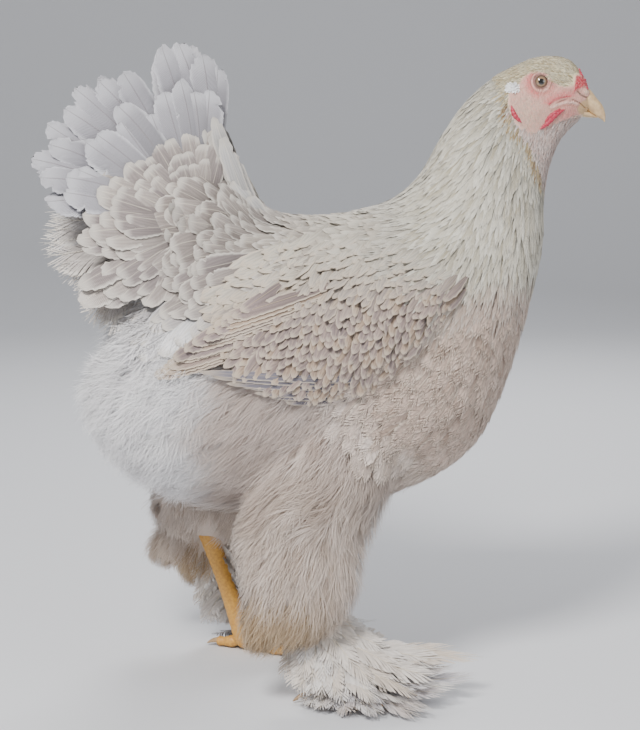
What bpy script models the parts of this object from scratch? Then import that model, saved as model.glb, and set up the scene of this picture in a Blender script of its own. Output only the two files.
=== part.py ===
# A life-size Brahma hen, standing, facing +X with its left side at +Y. Metres, +Z up, feet flat on z = 0.
# The body is one lofted surface that runs from the bill down the neck and along the trunk. Thin plane
# cuts part it into head, neck, torso and abdomen. What grows from it is shaped by its own few sizes and
# trimmed to the body's surface with a small gap: tail, wings, thighs, comb, wattles and ear lobes.

import math

import bmesh
import bpy
import numpy as np
from mathutils import Matrix

CM = 0.01
TO_MIDDLE = -0.0039  # x from the point that all sizes below are taken from to the middle of the bounding box
GAP = 0.0003  # between touching pieces
RIGHT, LEFT = -1, 1

# Sections of the body from the bill back to the fluff, in centimetres:
# dorsal x and z, ventral x and z, half width. Each section lies in the plane through both points that is
# square to the midplane.
BODY_SECTIONS = np.array([
    (22.62, 51.05, 22.45, 49.10, 0.72),  # root of the bill
    (22.20, 52.00, 21.98, 48.60, 1.05),
    (21.62, 52.95, 21.32, 47.98, 1.40),
    (20.72, 53.66, 20.70, 47.35, 1.75),  # brow
    (19.30, 53.88, 20.18, 46.60, 2.00),  # eye
    (17.85, 53.70, 19.75, 45.60, 2.15),
    (16.30, 53.05, 19.40, 44.40, 2.35),
    (14.40, 52.00, 19.14, 43.00, 2.75),  # nape, where the head is cut from the neck
    (12.10, 49.90, 19.00, 41.10, 3.40),
    (10.20, 47.10, 19.00, 38.90, 4.20),
    (8.50, 44.00, 18.70, 36.30, 5.20),
    (6.20, 41.90, 18.00, 33.30, 6.40),  # root of the neck
    (3.30, 40.95, 17.00, 29.50, 8.00),
    (0.40, 40.50, 15.60, 25.20, 9.30),  # crop and shoulders
    (-2.60, 40.50, 13.20, 20.60, 10.10),
    (-5.60, 40.50, 8.60, 17.40, 10.50),
    (-8.30, 40.00, 2.30, 15.50, 10.50),  # loins, where the torso is cut from the abdomen
    (-11.10, 38.60, -4.20, 14.90, 10.20),
    (-13.70, 36.30, -9.80, 15.20, 9.50),
    (-16.00, 33.10, -14.60, 17.10, 8.30),
    (-18.10, 29.80, -18.00, 20.00, 6.40),
    (-19.70, 27.50, -20.00, 23.00, 3.80),
    (-20.45, 26.20, -20.60, 24.80, 1.30),  # end of the fluff
]) * CM
NAPE, NECK_ROOT, LOINS = 7, 11, 16  # the sections at which the body is cut
BODY_SIDES = 24

# The wing's own chart: p runs from the shoulder to the tip, q upwards across the wing.
WING_SHOULDER = np.array([0.1035, 0.342])
WING_TIP = np.array([-0.136, 0.293])
WING_PAD_LENGTH = 0.165
WING_PAD_THICKNESS = 0.013

TAIL_ROOT = np.array([-0.099, 0.399])  # x and z of the point that the tail feathers fan from
QUILL_DEGREES = {RIGHT: (87, 98, 118, 131, 144, 156, 167), LEFT: (93, 103, 123, 136, 149, 160, 171)}

LEG_SPREAD = 0.068  # sideways from the midplane to each leg
FOOT_X = {RIGHT: 0.012, LEFT: -0.070}  # the right leg stands ahead of the left
HOCK_TUFT = {RIGHT: (0, 0), LEFT: (0.014, 0.026)}  # back and up from the right leg's tuft
HOCK_BACK, HOCK_HEIGHT = 0.032, 0.112  # the hock above and behind the middle of the foot
SHANK_RADIUS = 0.0085
SHANK_FOOT = 0.026  # height at which the shank meets the foot

EYE_CENTRE = np.array([0.1836, 0.0128, 0.5169])
EYE_RADIUS = 0.0072


def clear_scene():
    for thing in list(bpy.data.objects):
        bpy.data.objects.remove(thing)


def material(name, colour, roughness):
    made = bpy.data.materials.new(name)
    made.use_nodes = True
    shader = made.node_tree.nodes["Principled BSDF"]
    shader.inputs["Base Color"].default_value = (*colour, 1.0)
    shader.inputs["Roughness"].default_value = roughness
    shader.inputs["Metallic"].default_value = 0.0
    return made


# Curves and meshes as arrays

def smooth(table, t):
    """Catmull-Rom curve through the rows of table, at the row numbers t."""
    table = np.asarray(table, float)
    t = np.clip(np.atleast_1d(np.asarray(t, float)), 0, len(table) - 1)
    i = np.minimum(t.astype(int), len(table) - 2)
    f = (t - i)[:, None]
    padded = np.vstack([2 * table[0] - table[1], table, 2 * table[-1] - table[-2]])
    a, b, c, d = (padded[i + k] for k in range(4))
    return b + 0.5 * f * (c - a + f * (2 * a - 5 * b + 4 * c - d + f * (3 * (b - c) + d - a)))


def unit(v):
    return v / np.linalg.norm(v, axis=-1, keepdims=True)


def section_ring(row, sides, squareness=2.0):
    """One closed ring in the plane of a section: a superellipse between its dorsal and ventral points."""
    dorsal, ventral = np.array([row[0], 0, row[1]]), np.array([row[2], 0, row[3]])
    angle = np.linspace(0, 2 * math.pi, sides, endpoint=False)
    c, s = np.cos(angle), np.sin(angle)
    up = np.sign(c) * np.abs(c) ** (2 / squareness)
    out = np.sign(s) * np.abs(s) ** (2 / squareness)
    ring = (dorsal + ventral) / 2 + up[:, None] * (dorsal - ventral) / 2
    ring[:, 1] += out * row[4]
    return ring


def rings_mesh(rings):
    """Closed tube through the rings, each end closed by a fan to its middle, as points and triangles."""
    rings = np.asarray(rings, float)
    n, m = rings.shape[:2]
    points = np.vstack([rings.reshape(-1, 3), rings[0].mean(0), rings[-1].mean(0)])
    triangles = []
    for i in range(n - 1):
        for j in range(m):
            a, b = i * m + j, i * m + (j + 1) % m
            triangles += [(a, b, b + m), (a, b + m, a + m)]
    for j in range(m):
        k = (j + 1) % m
        triangles += [(n * m, k, j), (n * m + 1, (n - 1) * m + j, (n - 1) * m + k)]
    return facing_out(points, np.array(triangles))


def facing_out(points, triangles):
    volume = np.linalg.det(points[triangles]).sum()
    return points, triangles if volume > 0 else triangles[:, ::-1]


def inflated(points, triangles, distance):
    """The same mesh with each point moved out along its normal."""
    a, b, c = (points[triangles[:, k]] for k in range(3))
    face_normals = np.cross(b - a, c - a)
    normals = np.zeros_like(points)
    for k in range(3):
        np.add.at(normals, triangles[:, k], face_normals)
    return points + distance * unit(normals), triangles


def mesh_object(name, points, triangles, finish=None):
    mesh = bpy.data.meshes.new(name)
    mesh.from_pydata(np.asarray(points).tolist(), [], np.asarray(triangles).tolist())
    made = bpy.data.objects.new(name, mesh)
    bpy.context.scene.collection.objects.link(made)
    if finish:
        mesh.materials.append(finish)
    return made


def apply_modifiers(thing):
    graph = bpy.context.evaluated_depsgraph_get()
    made = bpy.data.meshes.new_from_object(thing.evaluated_get(graph))
    thing.modifiers.clear()
    old, thing.data = thing.data, made
    bpy.data.meshes.remove(old)


def keep_largest(thing):
    """Keeps only the largest closed surface, so that sealed hollows fill and loose scraps go."""
    mesh = bmesh.new()
    mesh.from_mesh(thing.data)
    bmesh.ops.triangulate(mesh, faces=mesh.faces[:])
    left, surfaces = set(mesh.faces), []
    while left:
        queue, surface = [left.pop()], []
        while queue:
            face = queue.pop()
            surface.append(face)
            for edge in face.edges:
                for near in edge.link_faces:
                    if near in left:
                        left.remove(near)
                        queue.append(near)
        surfaces.append(surface)
    surfaces.sort(key=lambda faces: sum(f.calc_area() for f in faces))
    loose = [face for surface in surfaces[:-1] for face in surface]
    bmesh.ops.delete(mesh, geom=loose, context="FACES")
    mesh.to_mesh(thing.data)
    mesh.free()


def combine(thing, operation, pieces, solver="MANIFOLD"):
    """Applies one Boolean between thing and all the pieces, each given as points and triangles."""
    group = bpy.data.collections.new(thing.name + " pieces")
    bpy.context.scene.collection.children.link(group)
    for index, (points, triangles) in enumerate(pieces):
        piece = mesh_object(f"piece {index}", points, triangles)
        bpy.context.scene.collection.objects.unlink(piece)
        group.objects.link(piece)
    modifier = thing.modifiers.new(operation.title(), "BOOLEAN")
    modifier.operation = operation
    modifier.solver = solver
    modifier.operand_type = "COLLECTION"
    modifier.collection = group
    apply_modifiers(thing)
    for piece in list(group.objects):
        bpy.data.objects.remove(piece)
    bpy.data.collections.remove(group)
    keep_largest(thing)
    return thing


def ball(centre, radii, around=10, rings=6, axes=np.eye(3)):
    """Ellipsoid with the given half axes along the rows of axes."""
    polar = np.linspace(0, math.pi, rings + 2)[1:-1]
    angle = np.linspace(0, 2 * math.pi, around, endpoint=False)
    local = np.array([
        [(math.cos(p), math.sin(p) * math.cos(a), math.sin(p) * math.sin(a)) for a in angle]
        for p in polar
    ])
    points, triangles = rings_mesh(local)
    points[-2], points[-1] = (1, 0, 0), (-1, 0, 0)
    return facing_out(np.asarray(centre) + (points * radii) @ np.asarray(axes), triangles)


def tube(path, radii, sides=8, across=(0, 1.0, 0), flat=1.0, floor=None):
    """Round tube along a path, with its sections square to it and one of their axes held near across.
    flat scales the other axis, and points under floor are raised to it."""
    path, radii = np.asarray(path, float), np.asarray(radii, float)[:, None, None]
    along = unit(np.gradient(path, axis=0))
    first = unit(across - (along @ across)[:, None] * along)
    second = np.cross(along, first)
    angle = (np.arange(sides) + 0.5) * 2 * math.pi / sides
    c, s = np.cos(angle)[None, :, None], np.sin(angle)[None, :, None]
    rings = path[:, None] + radii * (c * first[:, None] + flat * s * second[:, None])
    points, triangles = rings_mesh(rings)
    if floor is not None:
        points[:, 2] = np.maximum(points[:, 2], floor)
    return points, triangles


# The body

def body_rings(first, last):
    """A ring at each section and one halfway to the next."""
    rows = smooth(BODY_SECTIONS, np.arange(2 * first, 2 * last + 1) / 2)
    return [section_ring(row, BODY_SIDES) for row in rows]


def trimmed_rings(first, last, trim_first, trim_last):
    """Rings from one section to another, the end rings drawn back by half a gap where the body is cut."""
    rings = body_rings(first, last)
    for end, near, wanted in ((0, 1, trim_first), (-1, -2, trim_last)):
        if not wanted:
            continue
        row = smooth(BODY_SECTIONS, first if end == 0 else last)[0]
        line = unit(np.array([row[0] - row[2], 0, row[1] - row[3]]))
        normal = np.cross(line, (0, 1.0, 0))
        normal *= np.sign(normal @ (rings[near].mean(0) - rings[end].mean(0)))
        rings[end] = rings[end] + normal * GAP / 2
    return rings


def whole_body():
    return rings_mesh(body_rings(0, len(BODY_SECTIONS) - 1))


def body_side(x, z):
    """Half width of the body at points x, z of the side view."""
    rows = smooth(BODY_SECTIONS, np.linspace(0, len(BODY_SECTIONS) - 1, 400))
    point = np.stack([np.ravel(x), np.ravel(z)], -1)[:, None]
    dorsal, ventral = rows[None, :, 0:2], rows[None, :, 2:4]
    line, away = ventral - dorsal, point - dorsal
    length = np.linalg.norm(line, axis=-1)
    off = (line[..., 0] * away[..., 1] - line[..., 1] * away[..., 0]) / length
    share = (line * away).sum(-1) / length ** 2
    off = np.abs(off) + 10 * np.maximum(0, np.abs(share - 0.5) - 0.6)
    best = off.argmin(1)
    pick = np.arange(len(best))
    up = np.clip(1 - 2 * share[pick, best], -0.995, 0.995)
    return (rows[best, 4] * np.sqrt(1 - up ** 2)).reshape(np.shape(x))


# Feathers

def vane(sheet, normals, thickness=0.0011):
    """A feather as a thin closed plate. sheet holds rows of two or three points across, from root to tip,
    and normals has one row for each. Both faces are split into triangles alike."""
    rows, columns = sheet.shape[:2]
    shares = (0.35, 0.35) if columns == 2 else (0.35, 0.5, 0.35)  # thicker along the shaft
    lift = normals[:, None, :] * thickness * np.array(shares)[None, :, None]
    points = np.concatenate([(sheet + lift).reshape(-1, 3), (sheet - lift).reshape(-1, 3)])
    under = rows * columns
    triangles = []
    for i in range(rows - 1):
        for j in range(columns - 1):
            a, b = i * columns + j, i * columns + j + 1
            c, d = b + columns, a + columns
            for t in ((a, b, c), (a, c, d)) if j else ((a, b, d), (b, c, d)):
                triangles += [t, tuple(under + k for k in reversed(t))]
    rim = list(range(columns)) + [columns * i + columns - 1 for i in range(1, rows)]
    rim += list(range(under - 2, under - columns - 1, -1)) + [columns * i for i in range(rows - 2, 0, -1)]
    for a, b in zip(rim, rim[1:] + rim[:1]):
        triangles += [(b, a, under + a), (b, under + a, under + b)]
    return facing_out(points, np.array(triangles))


def feather_widths(t, half_width, root=0.35, widest=0.60):
    """Half widths along a feather: narrow at the root, widest past the middle, with a round tip."""
    rise = root + (1 - root) * np.sin(np.clip(t / widest, 0, 1) * math.pi / 2)
    tip = np.sqrt(np.clip(1 - ((t - widest) / (1 - widest)).clip(0) ** 2.4, 0.015, 1))
    return half_width * rise * tip


STATIONS = np.array([0, 0.5, 0.86, 1])  # stations along a feather, closer towards the round tip


def free_vane(root, direction, normal, length, half_width, bend=0.0, arch=0.0):
    """A feather that stands free: it leaves root along direction and bends towards its normal by bend of
    its length. With an arch it has a third row of points along its shaft, raised over its edges."""
    d = unit(np.asarray(direction, float))
    n = np.asarray(normal, float)
    n = unit(n - (n @ d) * d)
    line = root + length * (STATIONS[:, None] * d + bend * (STATIONS ** 2)[:, None] * n)
    along = unit(d + 2 * bend * STATIONS[:, None] * n)
    normals = unit(n - (along @ n)[:, None] * along)
    across = np.cross(normals, along)
    widths = feather_widths(STATIONS, half_width)[:, None]
    columns = (-1, 0, 1) if arch else (-1, 1)
    sheet = np.stack([line + s * widths * across - abs(s) * arch * widths * normals for s in columns], 1)
    return vane(sheet, normals)


# Head

def build_head(finish):
    head = mesh_object("head", *rings_mesh(trimmed_rings(0, NAPE, False, True)), finish["face"])
    pieces = []
    for side in (RIGHT, LEFT):
        brow, ear_tuft = on_face(side, 0.1932, 0.5232), on_face(side, 0.1615, 0.5120)
        nostril_flap = on_face(side, 0.2206, 0.5082)
        pieces.append(lid_ring(side))
        pieces.append(ball(brow, (0.0110, 0.0022, 0.0024), 6, 3, slanted(-0.36)))
        pieces.append(ball(ear_tuft, (0.0062, 0.0022, 0.0040), 6, 3))
        pieces.append(ball(nostril_flap, (0.0048, 0.0018, 0.0022), 6, 3, slanted(-0.35)))
    combine(head, "UNION", pieces)
    cutters = [inflated(*eyeball(side), GAP) for side in (RIGHT, LEFT)]
    cutters += [inflated(*beak, GAP) for beak in (upper_beak(), lower_beak())]
    cutters += [mouth_line()]
    for side in (RIGHT, LEFT):  # nostrils
        cutters.append(ball((0.2212, side * 0.0108, 0.5056), (0.0024, 0.0016, 0.0007), 6, 3))
    return combine(head, "DIFFERENCE", cutters)


def on_face(side, x, z, lift=0.0):
    """A point of the head's surface, given in the side view."""
    return np.array([x, side * (body_side(x, z) + lift), z])


def slanted(slope):
    """Axes with the first turned up by slope in the side view."""
    return np.array([unit(np.array([1, 0, slope])), (0, 1, 0), unit(np.array([-slope, 0, 1]))])


def lid_ring(side):
    """Upper and lower lid as one ring round the eye, wider at the back of the eye than in front."""
    outward = unit(np.array([0.10, side * 1.0, 0.06]))
    forward = unit(np.cross((0, 0, 1), outward)) * (1 if side == RIGHT else -1)
    upward = np.cross(forward, outward) * (1 if side == RIGHT else -1)
    upward = upward * np.sign(upward[2])
    forward = forward * np.sign(forward[0])
    centre = EYE_CENTRE * (1, side, 1) + outward * 0.0042
    rings = []
    for a in np.linspace(0, 2 * math.pi, 12, endpoint=False):
        spoke = math.cos(a) * forward + 0.94 * math.sin(a) * upward
        middle = centre + spoke * 0.0064
        rings.append([
            middle + 0.0016 * (math.cos(b) * unit(spoke) + 0.9 * math.sin(b) * outward)
            for b in np.linspace(0, 2 * math.pi, 4, endpoint=False)
        ])
    rings = np.array(rings)
    n, m = rings.shape[:2]
    triangles = []
    for i in range(n):
        for j in range(m):
            a, b = i * m + j, i * m + (j + 1) % m
            c, d = (i + 1) % n * m + (j + 1) % m, (i + 1) % n * m + j
            triangles += [(a, b, c), (a, c, d)]
    return facing_out(rings.reshape(-1, 3), np.array(triangles))


def mouth_line():
    """A thin curved plate that parts the jaws from the gape to the bill."""
    half = 0.00032  # half its thickness
    rings = []
    line = np.array([(19.15, 49.66), (20.0, 50.12), (20.9, 50.24), (21.7, 49.95), (22.25, 49.54)])
    for x, z in line * CM:
        rings.append([(x, -0.03, z - half), (x, 0.03, z - half), (x, 0.03, z + half), (x, -0.03, z + half)])
    return rings_mesh(rings)


def beak_rings(sections, steps, squareness):
    rows = smooth(np.array(sections) * CM, np.linspace(0, len(sections) - 1, steps))
    return rings_mesh([section_ring(row, 8, squareness) for row in rows])


def upper_beak():
    return beak_rings([
        (21.90, 51.45, 21.45, 50.08, 0.78),
        (22.66, 51.12, 22.10, 49.64, 0.76),
        (23.28, 50.38, 22.80, 49.18, 0.60),
        (23.80, 49.74, 23.38, 48.82, 0.40),
        (24.06, 49.02, 23.80, 48.56, 0.20),
        (24.07, 48.42, 24.00, 48.34, 0.05),
    ], 6, 1.8)


def lower_beak():
    return beak_rings([
        (21.40, 49.95, 21.50, 48.90, 0.66),
        (22.05, 49.62, 22.12, 48.78, 0.58),
        (22.70, 49.20, 22.72, 48.72, 0.40),
        (23.15, 48.92, 23.15, 48.70, 0.22),
        (23.40, 48.77, 23.38, 48.70, 0.06),
    ], 5, 1.8)


def build_beak(finish):
    mesh_object("beak_upper", *upper_beak(), finish["horn"])
    mesh_object("beak_lower", *lower_beak(), finish["horn"])


def eyeball(side):
    facing = np.array([(0, side, 0), (0, 0, 1.0), (side, 0, 0)])
    return ball(EYE_CENTRE * (1, side, 1), (EYE_RADIUS,) * 3, 10, 5, facing)


def build_eyes(finish):
    for side, name in ((RIGHT, "eye_right"), (LEFT, "eye_left")):
        mesh_object(name, *eyeball(side), finish["eye"])


def build_comb(finish, body_cutter):
    """Pea comb: three low rows of beads along the forehead, the middle row the highest."""
    forehead = np.array([(21.50, 53.02), (21.88, 52.52), (22.20, 51.92), (22.46, 51.38)]) * CM
    beads = []
    for sideways, count, drop in ((0.0, 7, 0.0004), (0.0037, 5, 0.0009), (-0.0037, 5, 0.0009)):
        for k in range(count):
            t = (k + 0.5) / count
            x, z = smooth(forehead, t * (len(forehead) - 1))[0]
            size = 0.0025 * (1.1 - 0.2 * abs(2 * t - 1))
            beads.append(ball((x - drop / 2, sideways, z - drop), (size, size, size), 6, 3))
    comb = mesh_object("comb", *beads[0], finish["comb"])
    combine(comb, "UNION", beads[1:])
    combine(comb, "DIFFERENCE", [body_cutter])


def build_face_lobes(finish, body_cutter):
    for side, word in ((RIGHT, "right"), (LEFT, "left")):
        centre = on_face(side, 0.1938, 0.4855, 0.0006)
        flap = ball(centre, (0.0125, 0.0030, 0.0030), 8, 5, slanted(0.80))
        wattle = mesh_object("wattle_" + word, *flap, finish["comb"])
        fold = ball(on_face(side, 0.1905, 0.4815, 0.0006), (0.0080, 0.0034, 0.0022), 6, 3, slanted(0.60))
        combine(wattle, "UNION", [fold])
        combine(wattle, "DIFFERENCE", [body_cutter])
        centre = on_face(side, 0.1625, 0.4896, 0.0006)
        flap = ball(centre, (0.0078, 0.0028, 0.0028), 8, 4, slanted(-1.9))
        lobe = mesh_object("earlobe_" + word, *flap, finish["comb"])
        combine(lobe, "DIFFERENCE", [body_cutter])


# Trunk

def build_trunk(finish):
    last = len(BODY_SECTIONS) - 1
    for name, first, end, trims, look in (
        ("neck", NAPE, NECK_ROOT, (True, True), "hackle"),
        ("torso", NECK_ROOT, LOINS, (True, True), "body"),
        ("abdomen", LOINS, last, (True, False), "fluff"),
    ):
        mesh_object(name, *rings_mesh(trimmed_rings(first, end, *trims)), finish[look])


# Tail

def tail_core():
    """The rump and its cushion, the form that the tail feathers and their coverts grow from."""
    sections = np.array([
        (-1.0, 40.0, -8.0, 31.0, 4.0),
        (-4.8, 41.4, -12.5, 31.0, 6.2),
        (-7.0, 43.4, -15.3, 32.0, 6.6),
        (-9.4, 45.0, -16.6, 35.0, 5.8),
        (-11.8, 45.4, -17.0, 38.6, 4.2),
        (-13.8, 44.6, -16.2, 42.0, 1.8),
    ]) * CM
    rows = smooth(sections, np.linspace(0, len(sections) - 1, 7))
    return rings_mesh([section_ring(row, 12) for row in rows])


def fan_side(degrees, reach):
    """How far out from the midplane the tail's quills stand, at an angle and a reach from the fan's root."""
    step = min((degrees - 87) / 12.5, 7)
    return 0.006 + 0.003 * step + (0.006 + 0.0055 * step) * (reach - 0.03) / 0.122


def fan_vane(side, degrees, start, reach, near, far, half_width, tilt, bend, arch=0.0):
    """A feather of the tail's fan. It runs from start to reach from the fan's root, and from near to far
    out from the midplane. tilt turns its lower edge outwards, so that it laps over the feather below it."""
    a = math.radians(degrees)
    spoke, ahead = np.array([math.cos(a), 0, math.sin(a)]), np.array([math.sin(a), 0, -math.cos(a)])
    out = np.array([0, side, 0])
    origin = np.array([TAIL_ROOT[0], 0, TAIL_ROOT[1]])
    root, tip = origin + spoke * start + out * near, origin + spoke * reach + out * far
    normal = math.cos(tilt) * out + math.sin(tilt) * ahead
    return free_vane(root, tip - root, normal, np.linalg.norm(tip - root), half_width, bend, arch)


def tail_feathers(side):
    """Quills in a tented fan, two tiers of coverts laid over them, and the soft coverts under the tail."""
    pieces = []
    for degrees in QUILL_DEGREES[side]:
        reach = np.interp(degrees, (87, 95, 105, 117, 127, 150, 160, 171),
                          (0.137, 0.151, 0.154, 0.150, 0.161, 0.156, 0.151, 0.138))
        reach -= 0.12 * fan_side(degrees, reach)
        near, far = fan_side(degrees, 0.03), fan_side(degrees, reach)
        pieces.append(fan_vane(side, degrees, 0.030, reach, near, far, 0.0205, 0.42, 0.04, arch=0.12))
    for k in range(6):
        degrees = 88 + 22 * k + 5.5 * side
        reach = np.interp(degrees, (80, 110, 130, 150, 170, 195, 215),
                          (0.091, 0.082, 0.085, 0.093, 0.097, 0.102, 0.114))
        step = min((degrees - 87) / 12.5, 7)
        pieces.append(fan_vane(side, degrees, 0.034, reach, 0.032 + 0.004 * step,
                               fan_side(degrees, reach) + 0.012, 0.0200, 0.34, -0.04))
    for k in range(4):
        degrees = 103 + 26 * k - 5.5 * side
        step = min((degrees - 87) / 12.5, 7)
        reach, near = 0.066 + 0.004 * math.cos(3 * k), 0.046 + 0.002 * step
        far = fan_side(degrees, 0.07) + 0.026
        pieces.append(fan_vane(side, degrees, 0.012, reach, near, far, 0.0190, 0.30, -0.06))
    for k in range(4):
        degrees = 175 + 16.5 * k + 3.5 * side
        reach = np.interp(degrees, (171, 190, 209, 225), (0.126, 0.131, 0.125, 0.133))
        far = 0.020 + 0.007 * k
        pieces.append(fan_vane(side, degrees, 0.050, reach, 0.014, far, 0.0190, 0.30, 0.04))
    # along the front of the tail
    for x, z, degrees, length in ((-0.054, 0.400, 118, 0.086), (-0.043, 0.396, 121, 0.056)):
        a = math.radians(degrees)
        direction = np.array([math.cos(a), 0.10 * side, math.sin(a)])
        root = np.array([x, 0.016 * side, z])
        pieces.append(free_vane(root, direction, (0.3, side, 0.2), length, 0.0115))
    return pieces


def build_tail(finish, body_cutter):
    tail = mesh_object("tail", *tail_core(), finish["tail"])
    combine(tail, "UNION", tail_feathers(RIGHT) + tail_feathers(LEFT))
    combine(tail, "DIFFERENCE", [body_cutter])


# Wings

def wing_place(p, q, lift, side):
    """Point of the wing's chart as a place on the bird: p towards the tip, q upwards, lift outwards."""
    axis = unit(WING_TIP - WING_SHOULDER)
    up = np.array([axis[1], -axis[0]])
    up = up * np.sign(up[1])
    p, q = np.asarray(p, float), np.asarray(q, float)
    x = WING_SHOULDER[0] + axis[0] * p + up[0] * q
    z = WING_SHOULDER[1] + axis[1] * p + up[1] * q
    return np.stack([x, side * (body_side(x, z) + lift), z], -1)


def wing_edges(p):
    """Lower and upper edge of the folded wing at p along it."""
    stations = np.array([0.0, 0.03, 0.07, 0.11, 0.15, 0.19, 0.22, 0.246])
    low = np.interp(p, stations, (-0.010, -0.036, -0.056, -0.060, -0.052, -0.032, -0.015, -0.004))
    high = np.interp(p, stations, (0.020, 0.044, 0.060, 0.062, 0.054, 0.036, 0.020, 0.006))
    return low, high


def wing_lift(p, q):
    """Height of the folded wing's surface over the body: full over the bow, thin at the tip and edges."""
    low, high = wing_edges(p)
    across = np.clip(np.abs(2 * (q - low) / (high - low) - 1), 0, 1)
    along = np.interp(p, (0.0, 0.02, 0.06, 0.12, 0.165, 0.246), (0.25, 0.7, 1.0, 0.85, 0.30, 0.12))
    return 0.0020 + WING_PAD_THICKNESS * along * (1 - across ** 2.5)


def wing_pad(side):
    rings = []
    for p in np.linspace(0.0, WING_PAD_LENGTH, 7):
        low, high = wing_edges(p)
        q = np.linspace(low, high, 6)
        along = np.full(len(q), p)
        outer = wing_place(along, q, wing_lift(along, q), side)
        inner = wing_place(along, q, -0.004, side)[::-1]
        rings.append(np.vstack([outer, inner]))
    return rings_mesh(rings)


def wing_vane(side, start, end, half_width, rise, tilt=0.20):
    """A feather laid on the wing from start to end, both p and q. rise is its height over the wing's
    surface at its root and at its tip, and tilt lifts its lower edge over the feather below."""
    t = STATIONS[:, None]
    start, end = np.asarray(start), np.asarray(end)
    line = start + (end - start) * t
    run = unit(end - start)
    across = np.array([-run[1], run[0]])
    widths = feather_widths(t, half_width, 0.45)
    height = wing_lift(*line.T) + (rise[0] + (rise[1] - rise[0]) * t)[:, 0]
    sheet = np.stack([
        wing_place(*(line + s * widths * across).T, height - s * tilt * widths[:, 0], side) for s in (-1, 1)
    ], 1)
    normals = unit(np.cross(sheet[:, 1] - sheet[:, 0], np.gradient(sheet.mean(1), axis=0)))
    return vane(sheet, normals)


def wing_feathers(side):
    pieces = []
    for k in range(7):  # secondaries, the lowest first
        root = (0.090 - 0.0035 * k, -0.030 + 0.0123 * k)
        tip = (0.246 - 0.0093 * k, -0.006 + 0.0091 * k)
        pieces.append(wing_vane(side, root, tip, 0.0135, (-0.004, 0.0035)))
    for k in range(3):  # primaries, whose tips show under the secondaries
        root, tip = (0.085, -0.040 - 0.006 * k), (0.212 - 0.012 * k, -0.020 - 0.009 * k)
        pieces.append(wing_vane(side, root, tip, 0.0080, (-0.004, 0.0005)))
    # greater and median coverts
    for root, tip, count, rise in ((0.055, 0.138, 5, 0.0062), (0.015, 0.090, 4, 0.0040)):
        (low, high), (lower, upper) = wing_edges(root + 0.03), wing_edges(tip)
        for q in (np.arange(count) + 0.5) * 1.6 / count - 0.8:
            start = (root, (low + high) / 2 + 0.9 * q * (high - low) / 2)
            end = (tip - 0.008 * abs(q), (lower + upper) / 2 + q * (upper - lower) / 2)
            pieces.append(wing_vane(side, start, end, 0.0155, (-0.004, rise)))
    return pieces


def build_wings(finish, body_cutter):
    for side, name in ((RIGHT, "wing_right"), (LEFT, "wing_left")):
        wing = mesh_object(name, *wing_pad(side), finish["wing"])
        combine(wing, "UNION", wing_feathers(side))
        combine(wing, "DIFFERENCE", [body_cutter])


# Legs

def hock(side):
    return np.array([FOOT_X[side] - HOCK_BACK, side * LEG_SPREAD, HOCK_HEIGHT])


def foot_middle(side):
    return np.array([FOOT_X[side], side * LEG_SPREAD, 0.0])


def thigh_form(side):
    """The feathered drumstick, from inside the flank down past the hock to the tuft behind it. Below the
    hock it stands outwards, so that the inner side of the shank is bare."""
    x = hock(side)[0]
    back, up = HOCK_TUFT[side]
    stations = np.array([  # x, y, z, radius lengthwise, radius sideways
        (x + 0.042, 0.050, 0.250, 0.050, 0.044),
        (x + 0.034, 0.058, 0.212, 0.055, 0.048),
        (x + 0.016, 0.063, 0.172, 0.057, 0.050),
        (x + 0.004, 0.073, 0.138, 0.056, 0.042),
        (x + 0.001, 0.088, 0.110, 0.054, 0.028),
        (x - 0.010 - back / 2, 0.0905, 0.086 + up / 3, 0.044, 0.0255),
        (x - 0.026 - back, 0.090, 0.064 + up * 0.8, 0.026, 0.020),
        (x - 0.032 - back, 0.089, 0.048 + up, 0.010, 0.009),
    ])
    rows = smooth(stations, np.linspace(0, len(stations) - 1, 10))
    lengthwise = (rows[:, 3] / rows[:, 4])[:, None, None]
    return tube(rows[:, :3] * (1, side, 1), rows[:, 4], 16, flat=lengthwise)


def shank_core(side):
    top, foot = hock(side), foot_middle(side)
    foot[2] = SHANK_FOOT
    path = top + (foot - top) * np.array([-0.12, 0.02, 0.34, 0.67, 1])[:, None]
    return tube(path, SHANK_RADIUS * np.array([0.90, 1.15, 0.94, 0.94, 1.12]), 10)


def build_thighs(finish, body_cutter):
    for side, name in ((RIGHT, "thigh_right"), (LEFT, "thigh_left")):
        thigh = mesh_object(name, *thigh_form(side), finish["fluff"])
        combine(thigh, "DIFFERENCE", [body_cutter, inflated(*shank_core(side), GAP)])


def boot_feathers(side):
    """Three tiers of feathers on the front and outer side of the shank, below the thigh. The inner side is
    bare. The lowest tier reaches forwards over the toes."""
    pieces = []
    top, foot = hock(side), foot_middle(side)
    for height, length, behind, slope, drop, bend, turns in (
        (0.070, 0.064, 0.050, -0.16, -0.8, -0.16, (-24, 12, 48, 84, 122)),
        (0.056, 0.084, 0.046, -0.05, -0.6, -0.16, (-14, 14, 44, 78, 114)),
        (0.043, 0.124, 0.044, 0.06, -0.4, -0.12, (-3, 22, 50)),
    ):
        share = (top[2] - height) / (top[2] - SHANK_FOOT)
        axis = top + (foot - top) * share
        axis[2] = height
        for turn in turns:
            a = math.radians(turn) * side
            fall = np.interp(abs(turn), (15, 80), (slope, drop))
            direction = np.array([math.cos(a), math.sin(a), fall])
            reach = np.interp(abs(turn), (0, 70), (length, behind))
            root, normal = axis + 0.002 * direction, (0, 0.7 * side, 1)
            pieces.append(free_vane(root, direction, normal, reach, 0.0145, bend))
    return pieces


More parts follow.
